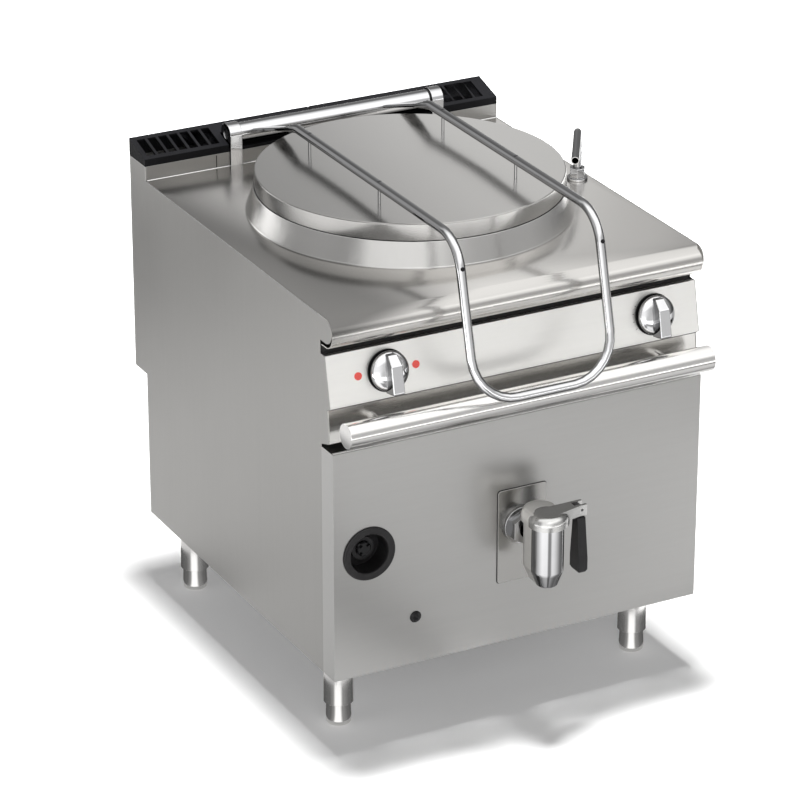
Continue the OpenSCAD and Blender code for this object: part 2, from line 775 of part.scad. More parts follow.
feed_end = chamber_r + 6;
valve_depth = 60;
valve_r = 24;

// Points on the left knob's axis, a given depth behind the control panel's face
function behind_control(depth) = [
    control_y + knob_up * sin(control_lean) + depth * cos(control_lean),
    control_h + knob_up * cos(control_lean) - depth * sin(control_lean)
];

// Straight pipe between two points
module pipe(p, q, d) {
    v = q - p;
    l = norm(v);
    translate(p) rotate([0, acos(v[2] / l), atan2(v[1], v[0])]) cylinder(d = d, h = l);
}

// Pipe along a list of points, with a round elbow fitting at each turn
elbow = 1.25;
module pipe_run(points, d) {
    for (i = [0 : len(points) - 2]) pipe(points[i], points[i + 1], d);
    for (i = [1 : len(points) - 2]) translate(points[i]) sphere(d = elbow * d);
}

pipe_wall_gap = 24;
gas_side_gap = 38;
water_side_gap = 26;
gas_run_y = front_y + front_box_d + pipe_wall_gap;
feed_pipe = 0.7;

nipple_l = 30;
tail_l = 20;
elbow_back = 40;

// Threaded nipple that stands out of the rear wall, with its tail inside
module inlet_nipple(x, tail_d) {
    translate([x, 0, inlet_z]) difference() {
        union() {
            rod_y_axis(lower_rear_y, lower_rear_y + nipple_l, nipple_d);
            rod_y_axis(lower_rear_y - tail_l, lower_rear_y + eps, tail_d);
        }
        rod_y_axis(lower_rear_y - tail_l - 1, lower_rear_y + nipple_l + 1, tail_d - 4);
    }
}

module gas_inlet() {
    color([0.75, 0.7, 0.5]) inlet_nipple(gas_inlet_x, gas_d);
}

module water_inlet() {
    color([0.75, 0.7, 0.5]) inlet_nipple(water_inlet_x, water_d);
}

// Gas from the rear inlet to the valve, and on to the burner
module gas_pipe() {
    side_x = gas_side_gap - inner_x;
    back_y = lower_rear_y - elbow_back;
    valve = behind_control(valve_depth);
    vy = valve[0] + valve_r;
    color([0.7, 0.6, 0.3]) {
        pipe_run([[gas_inlet_x, lower_rear_y - tail_l, inlet_z], [gas_inlet_x, back_y, inlet_z],
            [side_x, back_y, inlet_z], [side_x, vy, inlet_z], [side_x, vy, valve[1]],
            [-knob_left_x - valve_r, vy, valve[1]]], gas_d);
        pipe_run([[-knob_left_x, vy, valve[1] - valve_r], [-knob_left_x, vy, burner_z],
            [-knob_left_x, gas_run_y, burner_z], [burner_feed_x, gas_run_y, burner_z],
            [burner_feed_x, pan_y - feed_end, burner_z]], feed_pipe * gas_d);
    }
}

// Valve body behind the control panel, bored for its spindle
module valve_body() {
    difference() {
        union() {
            translate([0, 0, -valve_depth - 20]) cylinder(r = valve_r, h = 50);
            translate([0, 0, -valve_depth + 30]) cylinder(d = 26, h = valve_depth - 30 - sheet_t);
        }
        translate([0, 0, -valve_depth]) cylinder(d = spindle_d + 2 * run_fit, h = valve_depth + 1);
    }
}

module gas_valve() {
    color([0.75, 0.65, 0.35]) on_control(-knob_left_x, knob_up) valve_body();
}

module water_valve() {
    color([0.75, 0.65, 0.35]) on_control(knob_right_x, knob_up) valve_body();
}

// Water from the rear inlet to the valve, and on to the spout
module water_pipe() {
    side_x = inner_x - water_side_gap;
    back_y = lower_rear_y - elbow_back;
    valve = behind_control(valve_depth);
    vy = valve[0] + valve_r;
    spout_foot = worktop_h - spout_thread_l;
    color([0.72, 0.45, 0.3]) {
        pipe_run([[water_inlet_x, lower_rear_y - tail_l, inlet_z], [water_inlet_x, back_y, inlet_z],
            [side_x, back_y, inlet_z], [side_x, vy, inlet_z], [side_x, vy, valve[1]],
            [knob_right_x + valve_r, vy, valve[1]]], water_d);
        pipe_run([[knob_right_x, vy, valve[1] + valve_r], [knob_right_x, vy, spout_foot - 15],
            [spout_x, vy, spout_foot - 15], [spout_x, spout_y, spout_foot - 15],
            [spout_x, spout_y, spout_foot]], feed_pipe * water_d);
    }
}

drain_wall = 3;

// Drain from the pan's floor down and forward to the tap
module drain_pipe() {
    y = pan_y - pan_outlet_y;
    z0 = tap_h;
    z1 = pan_floor_z - pan_t;
    inner = drain_d - 2 * drain_wall;
    color([0.72, 0.72, 0.7]) difference() {
        union() {
            translate([0, y, z0]) cylinder(d = drain_d, h = z1 - z0);
            translate([0, y, z0]) sphere(d = drain_d);
            translate([0, 0, z0]) rod_y_axis(front_y, y, drain_d);
        }
        translate([0, y, z0]) cylinder(d = inner, h = z1 - z0 + 1);
        translate([0, y, z0]) sphere(d = inner);
        translate([0, 0, z0]) rod_y_axis(front_y - 1, y, inner);
    }
}

// Hinge and lid

post_foot = 90;
plate_t = 6;
plate_wing = 20;

module hinge_post(x) {
    foot_z = worktop_h - post_foot;
    color([0.86, 0.86, 0.85]) difference() {
        union() {
            translate([x, post_y, foot_z]) cube([post_w, post_d, hinge_z - foot_z]);
            translate([0, hinge_y, hinge_z]) rod_x_axis(x, x + post_w, head_d);
        }
        translate([0, hinge_y, hinge_z]) rod_x_axis(x - 1, x + post_w + 1, shaft_d + 2 * seat_fit);
    }
}

module hinge_post_left() {
    hinge_post(post_left_x);
    // Foot plate under the worktop
    color([0.6, 0.6, 0.6]) post_plate(post_left_x);
}

module hinge_post_right() {
    hinge_post(post_right_x);
    color([0.6, 0.6, 0.6]) post_plate(post_right_x);
}

module post_plate(x) {
    translate([x - plate_wing, post_y - plate_t, worktop_h - post_foot])
        cube([post_w + 2 * plate_wing, plate_t, post_foot - sheet_t]);
}

module hinge_shaft() {
    color([0.5, 0.5, 0.5]) translate([0, hinge_y, hinge_z])
        rod_x_axis(post_left_x + 2, post_right_x + post_w - 2, shaft_d);
}

module hinge_washer() {
    color([0.1, 0.1, 0.1]) translate([0, hinge_y, hinge_z]) difference() {
        rod_x_axis(post_right_x - washer_t, post_right_x, tube_d - 1);
        rod_x_axis(post_right_x - washer_t - 1, post_right_x + 1, shaft_d);
    }
}

bush_l = 24;

module hinge_tube() {
    color([0.85, 0.85, 0.85]) translate([0, hinge_y, hinge_z]) difference() {
        rod_x_axis(tube_x0, tube_x1, tube_d);
        rod_x_axis(tube_x0 - 1, tube_x1 + 1, tube_d - 2 * tube_wall);
    }
}

module hinge_bushes() {
    color([0.7, 0.55, 0.3]) translate([0, hinge_y, hinge_z])
        for (x = [tube_x0, tube_x1 - bush_l]) difference() {
            rod_x_axis(x, x + bush_l, tube_d - 2 * tube_wall);
            rod_x_axis(x - 1, x + bush_l + 1, shaft_d + 2 * run_fit);
        }
}

spring_turns = 12;
spring_steps = 12;
spring_sides = 5;
spring_x0 = tube_x0 + bush_l + 10;
spring_x1 = tube_x1 - bush_l - 10;
// The wire's inner flats clear the shaft
spring_r = (shaft_d / 2 + 0.25) / cos(180 / spring_steps) + spring_wire / 2;

// Point of the spring's wire: turn angle a, and angle b round the wire
function spring_point(a, b) = [
    spring_x0 + (spring_x1 - spring_x0) * a / (360 * spring_turns) + spring_wire / 2 * sin(b),
    hinge_y + (spring_r + spring_wire / 2 * cos(b)) * cos(a),
    hinge_z + (spring_r + spring_wire / 2 * cos(b)) * sin(a)
];

// Torsion spring round the shaft, swept as one helix
module balance_spring() {
    rings = spring_turns * spring_steps;
    n = spring_sides;
    points = [for (i = [0 : rings]) for (k = [0 : n - 1]) spring_point(i * 360 / spring_steps, k * 360 / n)];
    // Two triangles for each side of the wire between two rings
    walls = [for (i = [0 : rings - 1]) for (k = [0 : n - 1]) for (half = [0, 1])
        let (a = i * n + k, b = i * n + (k + 1) % n)
            half == 0 ? [a, b, b + n] : [a, b + n, a + n]];
    start = [[for (k = [n - 1 : -1 : 0]) k]];
    end = [[for (k = [0 : n - 1]) rings * n + k]];
    color([0.4, 0.4, 0.42]) polyhedron(points, concat(start, walls, end), convexity = 10);
}

// One station of the frame: centre, side axis, upper axis, half width, half thickness, squareness
function arm_station(y, z, slope, w, t, e) =
    [[rod_x, y, z], [1, 0, 0], [0, -sin(slope), cos(slope)], w, t, e];

rear_bend_y = pan_y + stud_rear + 57;
rear_slope = atan2(rod_z - hinge_z, hinge_y - rear_bend_y);
rear_run = norm([rod_z - hinge_z, hinge_y - rear_bend_y]);
// Point of the flattened end, a given way back from the rear bend
function flat_y(way) = rear_bend_y + way * cos(rear_slope);
function flat_z(way) = rod_z - way * sin(rear_slope);
rod_r = rod_d / 2;
bend_steps = 7;
corner_steps = 7;
loop_down = [0, -sin(loop_lean), -cos(loop_lean)];
loop_normal = [0, -cos(loop_lean), sin(loop_lean)];
corner_centre = [rod_x - loop_corner_r, leg_y, leg_z] + leg_l * loop_down;

// Right half of the frame, from the hinge tube to the middle of the loop
frame_half = concat(
    [
        arm_station(flat_y(rear_run - 5), flat_z(rear_run - 5), -rear_slope, flat_w / 2, flat_t / 2, 5),
        arm_station(flat_y(58), flat_z(58), -rear_slope, flat_w / 2, flat_t / 2, 5),
        arm_station(flat_y(40), flat_z(40), -rear_slope, flat_w / 2 - 2, flat_t / 2 + 1.5, 3.4),
        arm_station(flat_y(20), flat_z(20), -rear_slope, rod_r + 1, rod_r - 1.5, 2.4),
        arm_station(flat_y(8), flat_z(8), -rear_slope * 0.9, rod_r, rod_r, 2),
        arm_station(rear_bend_y, rod_z - 0.8, -rear_slope / 2, rod_r, rod_r, 2),
        arm_station(rear_bend_y - 9, rod_z, 0, rod_r, rod_r, 2)
    ],
    [for (i = [0 : bend_steps]) let (a = bend_turn * i / bend_steps)
        arm_station(bend_y - rod_bend_r * sin(a), rod_z - rod_bend_r * (1 - cos(a)), a, rod_r, rod_r, 2)],
    [for (i = [0 : corner_steps]) let (a = 90 * i / corner_steps)
        [corner_centre + loop_corner_r * (cos(a) * [1, 0, 0] + sin(a) * loop_down),
            cos(a) * [1, 0, 0] + sin(a) * loop_down, loop_normal, rod_r, rod_r, 2]]
);

function mirror_station(s) =
    [[-s[0][0], s[0][1], s[0][2]], [-s[1][0], s[1][1], s[1][2]], s[2], s[3], s[4], s[5]];
frame_stations = concat(frame_half, [for (i = [len(frame_half) - 1 : -1 : 0]) mirror_station(frame_half[i])]);

// Superellipse ordinate: round for squareness 2, boxy for more
function squared(v, e) = sign(v) * pow(abs(v), 2 / e);
function station_point(s, a) =
    s[0] + s[3] * squared(cos(a), s[5]) * s[1] + s[4] * squared(sin(a), s[5]) * s[2];

frame_sides = 20;

// One rod, flattened at both ends, bent over the front and closed by the loop
module lid_frame() {
    n = frame_sides;
    last = len(frame_stations) - 1;
    points = [for (s = frame_stations) for (k = [0 : n - 1]) station_point(s, k * 360 / n)];
    walls = [for (i = [0 : last - 1]) for (k = [0 : n - 1])
        [i * n + k, (i + 1) * n + k, (i + 1) * n + (k + 1) % n, i * n + (k + 1) % n]];
    start = [[for (k = [0 : n - 1]) k]];
    end = [[for (k = [n - 1 : -1 : 0]) last * n + k]];
    color([0.85, 0.85, 0.86]) difference() {
        polyhedron(points, concat(start, walls, end), convexity = 10);
        translate([0, hinge_y, hinge_z]) rod_x_axis(tube_x0, tube_x1, tube_d);
    }
}

// Height of the lid's crown at a radius from its centre
function crown_z(r) = lid_top + lid_crown * (1 - pow(r / lid_r, 2));

module lid_studs() {
    color([0.85, 0.85, 0.86]) difference() {
        for (side = [-1, 1]) for (y = [pan_y + stud_rear, pan_y - stud_front])
            translate([side * rod_x, y, lid_top]) cylinder(d = stud_d, h = rod_z - lid_top);
        for (side = [-1, 1]) translate([side * rod_x, 0, rod_z]) rod_y_axis(front_y, rear_y, rod_d);
        translate([0, pan_y, 0]) rotate_extrude($fn = 180)
            polygon(concat([[0, lid_z]], lid_crown_points(0), [[lid_r, lid_z]]));
    }
}

crown_steps = 10;
function lid_crown_points(drop) = [for (i = [0 : crown_steps])
    [(lid_r - 3) * i / crown_steps, crown_z(lid_r * i / crown_steps) - drop]];

drip_gap = 8;
drip_r = pan_r - drip_gap;
drip_h = 12;

// Domed lid with a rolled rim and a drip ring inside the pan's mouth
module lid() {
    t = 2;
    color([0.68, 0.67, 0.64]) translate([0, pan_y, 0]) rotate_extrude($fn = 180) polygon(concat(
        lid_crown_points(0),
        [[lid_r - 0.8, lid_top - 1], [lid_r, lid_top - 3], [lid_r, lid_z], [lid_r - t, lid_z],
         [lid_r - t, lid_top - t - 3], [drip_r + t, lid_top - t - 3], [drip_r + t, lid_z - drip_h],
         [drip_r, lid_z - drip_h],
         [drip_r, lid_top - t - 3]],
        [for (i = [crown_steps - 2 : -1 : 0])
            [(lid_r - 3) * i / crown_steps, crown_z(lid_r * i / crown_steps) - t - 3 * i / crown_steps]]
    ));
}

// Filling spout

spout_flange_h = 5;
spout_thread_l = 40;
spout_nut_h = 20;

module spout_base() {
    sleeve_in = spout_d + 2 * run_fit;
    color([0.85, 0.85, 0.86]) translate([spout_x, spout_y, 0]) difference() {
        union() {
            translate([0, 0, worktop_h]) cylinder(d = 42, h = spout_flange_h);
            translate([0, 0, worktop_h + spout_flange_h]) cylinder(d = 34, h = spout_nut_h, $fn = 6);
            translate([0, 0, worktop_h - spout_thread_l])
                cylinder(d = spout_thread_d, h = spout_thread_l + 1);
        }
        translate([0, 0, worktop_h + 3]) cylinder(d = sleeve_in, h = 60);
        translate([0, 0, worktop_h - spout_thread_l + 2]) cylinder(d = 10, h = 60);
    }
}

arch_steps = 9;
spout_sides = 18;
spout_foot_z = worktop_h + 3.3;
arch_z = worktop_h + spout_crest - spout_arch_r;
arch_turn = 90 + spout_fall;
arm_l = (spout_reach - spout_arch_r * (1 - cos(arch_turn))) / cos(spout_fall);
// The arch is soldered into the straight column, which is this much wider in radius
column_step = 0.3;
column_seat = 6;
column_top = arch_z - 14;

// A place on the arch after a turn, in the plane y = 0, and a ring of the tube round it
function spout_place(turn) = [-spout_arch_r * (1 - cos(turn)), 0, arch_z + spout_arch_r * sin(turn)];
function spout_ring(c, turn, r) = [for (k = [0 : spout_sides - 1]) let (a = k * 360 / spout_sides)
    c + r * cos(a) * [cos(turn), 0, sin(turn)] + r * sin(a) * [0, 1, 0]];

// Arch and falling arm of radius r, from a height in the column, longer at the mouth by over
module spout_neck(r, start_z, over) {
    n = spout_sides;
    arm_dir = [-cos(spout_fall), 0, -sin(spout_fall)];
    rings = concat(
        [spout_ring([0, 0, start_z], 0, r)],
        [for (i = [0 : arch_steps]) let (t = arch_turn * i / arch_steps) spout_ring(spout_place(t), t, r)],
        [spout_ring(spout_place(arch_turn) + (arm_l + over) * arm_dir, arch_turn, r)]
    );
    last = len(rings) - 1;
    walls = [for (i = [0 : last - 1]) for (k = [0 : n - 1])
        [i * n + k, (i + 1) * n + k, (i + 1) * n + (k + 1) % n, i * n + (k + 1) % n]];
    start = [[for (k = [0 : n - 1]) k]];
    end = [[for (k = [n - 1 : -1 : 0]) last * n + k]];
    polyhedron([for (ring = rings) for (p = ring) p], concat(start, walls, end), convexity = 10);
}

// Swan neck: column, arch and falling arm, drawn towards -X and turned to its rest direction
module spout() {
    r = spout_d / 2;
    color([0.85, 0.85, 0.86]) translate([spout_x, spout_y, 0]) rotate([0, 0, spout_turn]) difference() {
        union() {
            translate([0, 0, spout_foot_z]) cylinder(r = r, h = column_top - spout_foot_z);
            spout_neck(r - column_step, column_top - column_seat, 0);
        }
        translate([0, 0, spout_foot_z - 1])
            cylinder(r = r - spout_wall, h = column_top - column_seat - spout_foot_z);
        spout_neck(r - column_step - spout_wall, column_top - column_seat - 2, 1);
    }
}

// Controls

knob_gap = 0.3;
ring_h = 3;
// Both knobs stand off their rings, which gives the gas knob room for its push
knob_lift = knob_push + 1;

module knob_ring(x) {
    color([0.08, 0.08, 0.08]) on_control(x, knob_up) difference() {
        cylinder(d = knob_d + 4, h = ring_h);
        translate([0, 0, -1]) cylinder(d = spindle_d + 4, h = ring_h + 2);
    }
}

// Round skirt with a wing across it, which overhangs the skirt below and slopes down above
module knob_shape(bore_l) {
    wing_w = 24;
    wing_over = 2;
    draft = 3;
    skirt_top = knob_skirt_h * 0.7;
    grip_top = knob_grip_h - ring_h;
    wing_l = knob_d + wing_over - 4;
    difference() {
        union() {
            rotate_extrude() polygon([
                [0, 0], [knob_d / 2 - 1, 0], [knob_d / 2, 1], [knob_d / 2, knob_skirt_h * 0.5],
                [knob_d / 2 - 1.5, knob_skirt_h * 0.72], [knob_d / 2 - 4.5, knob_skirt_h * 0.9],
                [knob_d / 2 - 9, knob_skirt_h], [0, knob_skirt_h + 2]
            ]);
            hull() {
                translate([-wing_w / 2, -knob_d / 2 - wing_over, 1]) cube([wing_w, wing_l, skirt_top]);
                translate([-wing_w / 2 + draft, -knob_d / 2 - wing_over + 1, grip_top - 3])
                    cube([wing_w - 2 * draft, wing_l - 22, 3]);
                translate([-wing_w / 2 + draft + 1, -knob_d / 2 - wing_over + 4, grip_top - 1])
                    cube([wing_w - 2 * draft - 2, wing_l - 28, 1]);
            }
        }
        translate([0, 0, -1]) cylinder(d = spindle_d + 2 * run_fit, h = bore_l + 1);
    }
}

knob_bore_l = 18;

module gas_knob_ring() {
    knob_ring(-knob_left_x);
}

module water_knob_ring() {
    knob_ring(knob_right_x);
}

module gas_knob() {
    color([0.85, 0.85, 0.86]) on_control(-knob_left_x, knob_up)
        translate([0, 0, ring_h + knob_lift]) knob_shape(knob_bore_l);
}

// Spindle of the gas valve: it turns in the valve and carries the sprung knob
module gas_spindle() {
    color([0.7, 0.7, 0.7]) on_control(-knob_left_x, knob_up)
        translate([0, 0, -valve_depth + knob_gap])
            cylinder(d = spindle_d, h = valve_depth - knob_gap + ring_h + knob_bore_l - 1);
}

// The water knob and its spindle turn as one
module water_knob() {
    color([0.85, 0.85, 0.86]) on_control(knob_right_x, knob_up) {
        translate([0, 0, ring_h + knob_lift]) knob_shape(0);
        translate([0, 0, -valve_depth + knob_gap])
            cylinder(d = spindle_d, h = valve_depth + ring_h + knob_lift + 2);
    }
}

module signal_lamps() {
    color([0.9, 0.2, 0.15]) for (side = [-1, 1])
        on_control(-knob_left_x + side * lamp_span / 2, knob_up) union() {
            cylinder(d = lamp_d, h = 1.5);
            translate([0, 0, -14]) cylinder(d = lamp_hole_d, h = 14.5);
        }
}

// Igniter

bezel_wall = 3;
bezel_lip = 4;

// Turns a shape drawn along +Z so that it runs along +Y from the front panel's face
module into_front(x, z) {
    translate([x, front_y, z]) rotate([-90, 0, 0]) children();
}

module igniter_bezel() {
    r = recess_d / 2;
    d = recess_depth;
    b = button_d / 2 + run_fit;
    color([0.06, 0.06, 0.06]) into_front(-igniter_x, igniter_h) rotate_extrude() polygon([
        [r + 2, -bezel_lip], [bezel_d / 2 - 2, -bezel_lip], [bezel_d / 2, -bezel_lip + 2], [bezel_d / 2, 0],
        [r + bezel_wall, 0], [r + bezel_wall, d + bezel_wall], [b, d + bezel_wall], [b, d - socket_h],
        [socket_r, d - socket_h], [socket_r, d], [r, d], [r, -bezel_lip + 3]
    ]);
}

socket_h = 14;
socket_r = 24;

module igniter_button() {
    front = recess_depth - socket_h - button_push - 1;
    groove_w = 6;
    groove_d = 4;
    color([0.1, 0.1, 0.1]) into_front(-igniter_x, igniter_h) translate([0, 0, front]) difference() {
        rotate_extrude() polygon([
            [0, 0], [button_d / 2 - 2, 0], [button_d / 2, 2],
            [button_d / 2, recess_depth + bezel_wall - front], [0, recess_depth + bezel_wall - front]
        ]);
        // Four notches leave a cross on the button's face
        for (a = [45 : 90 : 315]) rotate([0, 0, a])
            translate([button_d / 4, -groove_w / 2, -1]) cube([button_d / 2, groove_w, groove_d + 1]);
    }
}

// Spark unit behind the recess, with room for the button's travel
module igniter_body() {
    z0 = recess_depth + bezel_wall;
    color([0.2, 0.2, 0.2]) into_front(-igniter_x, igniter_h) difference() {
        translate([0, 0, z0]) cylinder(d = button_d + 16, h = 40);
        translate([0, 0, z0 - 1]) cylinder(d = button_d + 2, h = button_push + 2);
    }
}

module sight_plug() {
    color([0.12, 0.12, 0.12]) into_front(-plug_x, plug_h) rotate_extrude() polygon([
        [0, -4], [plug_d / 4, -3.6], [plug_d / 2 - 3, -2.4], [plug_d / 2, -1], [plug_d / 2, 0],
        [plug_stem_d / 2, 0], [plug_stem_d / 2, 12], [0, 12]
    ]);
}

plug_stem_d = plug_d - 5;

// Draw-off tap

plate_shift = 4;
plate_drop = 21;
plate_corner = 6;

module tap_plate() {
    w = tap_plate_w / 2 - plate_corner;
    h = tap_plate_h / 2 - plate_corner;
    color([0.68, 0.68, 0.67]) difference() {
        translate([plate_shift, front_y, tap_h - plate_drop]) rotate([90, 0, 0]) union() {
            translate([-w, -tap_plate_h / 2, 0]) cube([2 * w, tap_plate_h, tap_plate_t]);
            translate([-tap_plate_w / 2, -h, 0]) cube([tap_plate_w, 2 * h, tap_plate_t]);
            for (x = [-w, w]) for (y = [-h, h])
                translate([x, y, 0]) cylinder(r = plate_corner, h = tap_plate_t);
        }
        translate([0, 0, tap_h])
            rod_y_axis(front_y - 2 * tap_plate_t, front_y + 1, tap_pipe_d + 2 * seat_fit);
    }
}

tap_pipe_d = drain_d - 2 * drain_wall;
inlet_flange_d = 76;
hex_af = 58;
hex_l = 22;
inlet_flange_t = 8;

// Inlet tail: a pipe into the drain, a round flange and a hexagon union nut
module tap_inlet() {
    y_flange = front_y - tap_plate_t - inlet_flange_t;
    y_hex = y_flange - hex_l;
    color([0.82, 0.82, 0.83]) difference() {
        translate([0, 0, tap_h]) union() {
            rod_y_axis(y_hex, front_y + 20, tap_pipe_d);
            rod_y_axis(y_flange, front_y - tap_plate_t, inlet_flange_d);
            translate([0, y_hex, 0]) rotate([-90, 30, 0]) cylinder(d = hex_af / cos(30), h = hex_l, $fn = 6);
        }
        translate([0, 0, tap_h]) rod_y_axis(y_hex - 1, front_y + 21, tap_bore_d);
    }
}

body_top_z = tap_top_z - tap_cap_h;
taper_h = 34;
seat_h = 28;
chamber_d = tap_bore_d + 16;

// Body: a hexagon tail, a vertical barrel and a tapered outlet
module tap_body() {
    y_hex = front_y - tap_plate_t - inlet_flange_t - hex_l;
    neck = tap_bore_d + 14;
    color([0.86, 0.86, 0.87]) difference() {
        union() {
            translate([0, tap_y, 0]) rotate_extrude() polygon([
                [0, tap_out_z], [tap_out_d / 2, tap_out_z], [tap_out_d / 2 + 1.5, tap_out_z + 3],
                [tap_body_d / 2 - 1.5, tap_out_z + taper_h - 2], [tap_body_d / 2, tap_out_z + taper_h + 2],
                [tap_body_d / 2, body_top_z], [0, body_top_z]
            ]);
            translate([0, 0, tap_h]) rod_y_axis(tap_y, y_hex, neck);
        }
        translate([0, 0, tap_h]) rod_y_axis(tap_y, y_hex + 1, tap_bore_d - 6);
        translate([0, tap_y, tap_out_z - 1]) cylinder(d = tap_bore_d, h = seat_h + 2);
        translate([0, tap_y, tap_out_z + seat_h])
            cylinder(d = chamber_d, h = body_top_z - tap_out_z - seat_h - 10);
        translate([0, tap_y, body_top_z - 12]) cylinder(d = stem_d + 2 * run_fit, h = 14);
    }
}

stem_d = 12;
cap_round = 18;
yoke_w = 26;
yoke_h = 22;
yoke_l = 16;
cheek_t = 6;
pin_d = 6;
pin_z = tap_top_z - 10;

// Bonnet: the domed cap, whose flat top runs out to the forked arm that holds the lever's pin
module tap_bonnet() {
    arm_end = lever_x + 11;
    flat_r = tap_cap_d / 2 - cap_round;
    color([0.84, 0.84, 0.85]) difference() {
        union() {
            translate([0, tap_y, 0]) rotate_extrude() polygon(concat(
                [[0, body_top_z], [tap_cap_d / 2, body_top_z]],
                [for (a = [0 : 15 : 90]) [flat_r + cap_round * cos(a), tap_top_z + cap_round * (sin(a) - 1)]],
                [[0, tap_top_z]]
            ));
            translate([0, tap_y, tap_top_z - yoke_h]) linear_extrude(yoke_h) polygon([
                [0, 1 - flat_r], [arm_end - yoke_l, -yoke_w / 2], [arm_end, -yoke_w / 2],
                [arm_end, yoke_w / 2], [arm_end - yoke_l, yoke_w / 2], [0, flat_r - 1]
            ]);
        }
        // Gap of the fork, open below and at its end
        translate([lever_x - 14, tap_y - yoke_w / 2 + cheek_t, tap_top_z - yoke_h - 1])
            cube([40, yoke_w - 2 * cheek_t, yoke_h + 2]);
        translate([lever_x, tap_y - yoke_w / 2 - 1, pin_z])
            rotate([-90, 0, 0]) cylinder(d = pin_d, h = yoke_w + 2);
        // Room for the piston's rise
        translate([0, tap_y, body_top_z - 1]) cylinder(d = stem_d + 4, h = tap_cap_h - 3);
    }
}

// Piston whose disc closes the seat and rises when the lever swings out
module tap_piston() {
    seat_z = tap_out_z + seat_h + 0.1;
    disc_h = 8;
    color([0.75, 0.68, 0.4]) translate([0, tap_y, seat_z]) union() {
        cylinder(d = tap_bore_d + 10, h = disc_h);
        cylinder(d = stem_d, h = body_top_z - seat_z + 8);
    }
}

module tap_lever_pin() {
    color([0.15, 0.15, 0.15]) translate([lever_x, tap_y - yoke_w / 2, pin_z])
        rotate([-90, 0, 0]) cylinder(d = pin_d, h = yoke_w);
}

// Black lever: an eye between the fork's cheeks and a blade that widens downwards
module tap_lever() {
    eye_d = 14;
    eye_w = yoke_w - 2 * cheek_t - 0.6;
    blade_w = 20;
    neck_l = 18;
    top_z = pin_z - neck_l;
    color([0.08, 0.08, 0.08]) difference() {
        union() {
            translate([lever_x, tap_y - eye_w / 2, pin_z]) rotate([-90, 0, 0]) cylinder(d = eye_d, h = eye_w);
            translate([lever_x - 7, tap_y - eye_w / 2, top_z - 4]) cube([16, eye_w, neck_l - 2]);
            translate([lever_x - 5, tap_y - eye_w / 2, top_z]) cube([10, eye_w, neck_l]);
            hull() {
                translate([lever_x - 8, tap_y - 9, top_z - 8]) cube([18, 18, 8]);
                translate([lever_x - 8, tap_y - 17, pin_z - lever_l + 6]) cube([blade_w, 34, 24]);
                translate([lever_x - 5, tap_y - 14, pin_z - lever_l]) cube([blade_w - 6, 28, 10]);
            }
        }
        translate([lever_x, tap_y - yoke_w, pin_z])
            rotate([-90, 0, 0]) cylinder(d = pin_d + 2 * run_fit, h = 2 * yoke_w);
    }
}

side_panel_left();
side_panel_right();
rear_panel();
base_frame();
foot_sleeves();
foot_tips();
front_panel();
rail_fascia();
handrail();
rail_brackets();
control_panel();
cross_beams();
worktop();
flue_riser();
flue_duct();
grille_left();
grille_right();
collar();
pan();
insulation();
chamber();
burner();
gas_inlet();
gas_pipe();
gas_valve();
drain_pipe();
hinge_post_left();
hinge_post_right();
hinge_shaft();
hinge_washer();
balance_spring();
hinge_tube();
hinge_bushes();
lid_frame();
lid_studs();
lid();
spout_base();
spout();
water_inlet();
water_valve();
water_pipe();
gas_spindle();
gas_knob();
gas_knob_ring();
water_knob();
water_knob_ring();
signal_lamps();
igniter_bezel();
igniter_button();
igniter_body();
sight_plug();
tap_plate();
tap_inlet();
tap_body();
tap_bonnet();
tap_piston();
tap_lever();
tap_lever_pin();
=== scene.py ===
"""Dresses the gas boiling pan: steel sheets, polished rods, castings, controls and the draw-off tap.

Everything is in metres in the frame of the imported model, with +X to the right of the user, +Y to the rear
wall and +Z up. Each class builds one sub-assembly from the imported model's nodes and the sizes in its fields.
"""

import logging
import math
from dataclasses import dataclass
from enum import Enum
from typing import Callable, Sequence

import bmesh
import bpy
from mathutils import Matrix, Vector


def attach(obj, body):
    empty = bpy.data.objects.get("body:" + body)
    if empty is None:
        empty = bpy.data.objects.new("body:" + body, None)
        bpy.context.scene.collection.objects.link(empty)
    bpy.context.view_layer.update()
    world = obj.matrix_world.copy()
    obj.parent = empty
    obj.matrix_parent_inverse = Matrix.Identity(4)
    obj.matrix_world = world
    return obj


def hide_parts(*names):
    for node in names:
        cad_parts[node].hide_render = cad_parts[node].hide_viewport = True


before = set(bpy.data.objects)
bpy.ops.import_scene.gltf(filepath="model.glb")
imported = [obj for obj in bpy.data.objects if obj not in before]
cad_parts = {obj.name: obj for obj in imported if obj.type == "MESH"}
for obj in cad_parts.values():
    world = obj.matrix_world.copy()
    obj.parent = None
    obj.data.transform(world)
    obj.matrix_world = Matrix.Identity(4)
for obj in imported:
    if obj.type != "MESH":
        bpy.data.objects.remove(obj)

LOG = logging.getLogger("boiling_pan")
MERGE_DISTANCE = 2e-6
CRISP_ANGLE = 38.0
BEVEL_ANGLE = 32.0
FLAT_ANGLE = 0.5
ALL_SMOOTH = 180.0
SIDE_SHARE = 0.45
POLE_RADIUS = 1e-6
ROUND_SEGMENTS = 96
FULL_TURN = 2 * math.pi
FLOAT = "NodeSocketFloat"
VECTOR = "NodeSocketVector"
COUNT = "NodeSocketInt"
FINISH = "NodeSocketMaterial"
GEOMETRY = "NodeSocketGeometry"
# Facing values over which the painted rim shade of polished metal sets in.
PAINTED_RIM_SHADE_REACH = (0.16, 0.44)
Colour = tuple[float, float, float]
Point = tuple[float, float, float]
Pair = tuple[float, float]
Row = tuple[float, ...]
Stops = tuple[Pair, ...]
Facing = tuple[Point, Point]
Glow = tuple[Point, float]
Tree = bpy.types.NodeTree
Node = bpy.types.Node
Socket = bpy.types.NodeSocket
Sockets = bpy.types.bpy_prop_collection
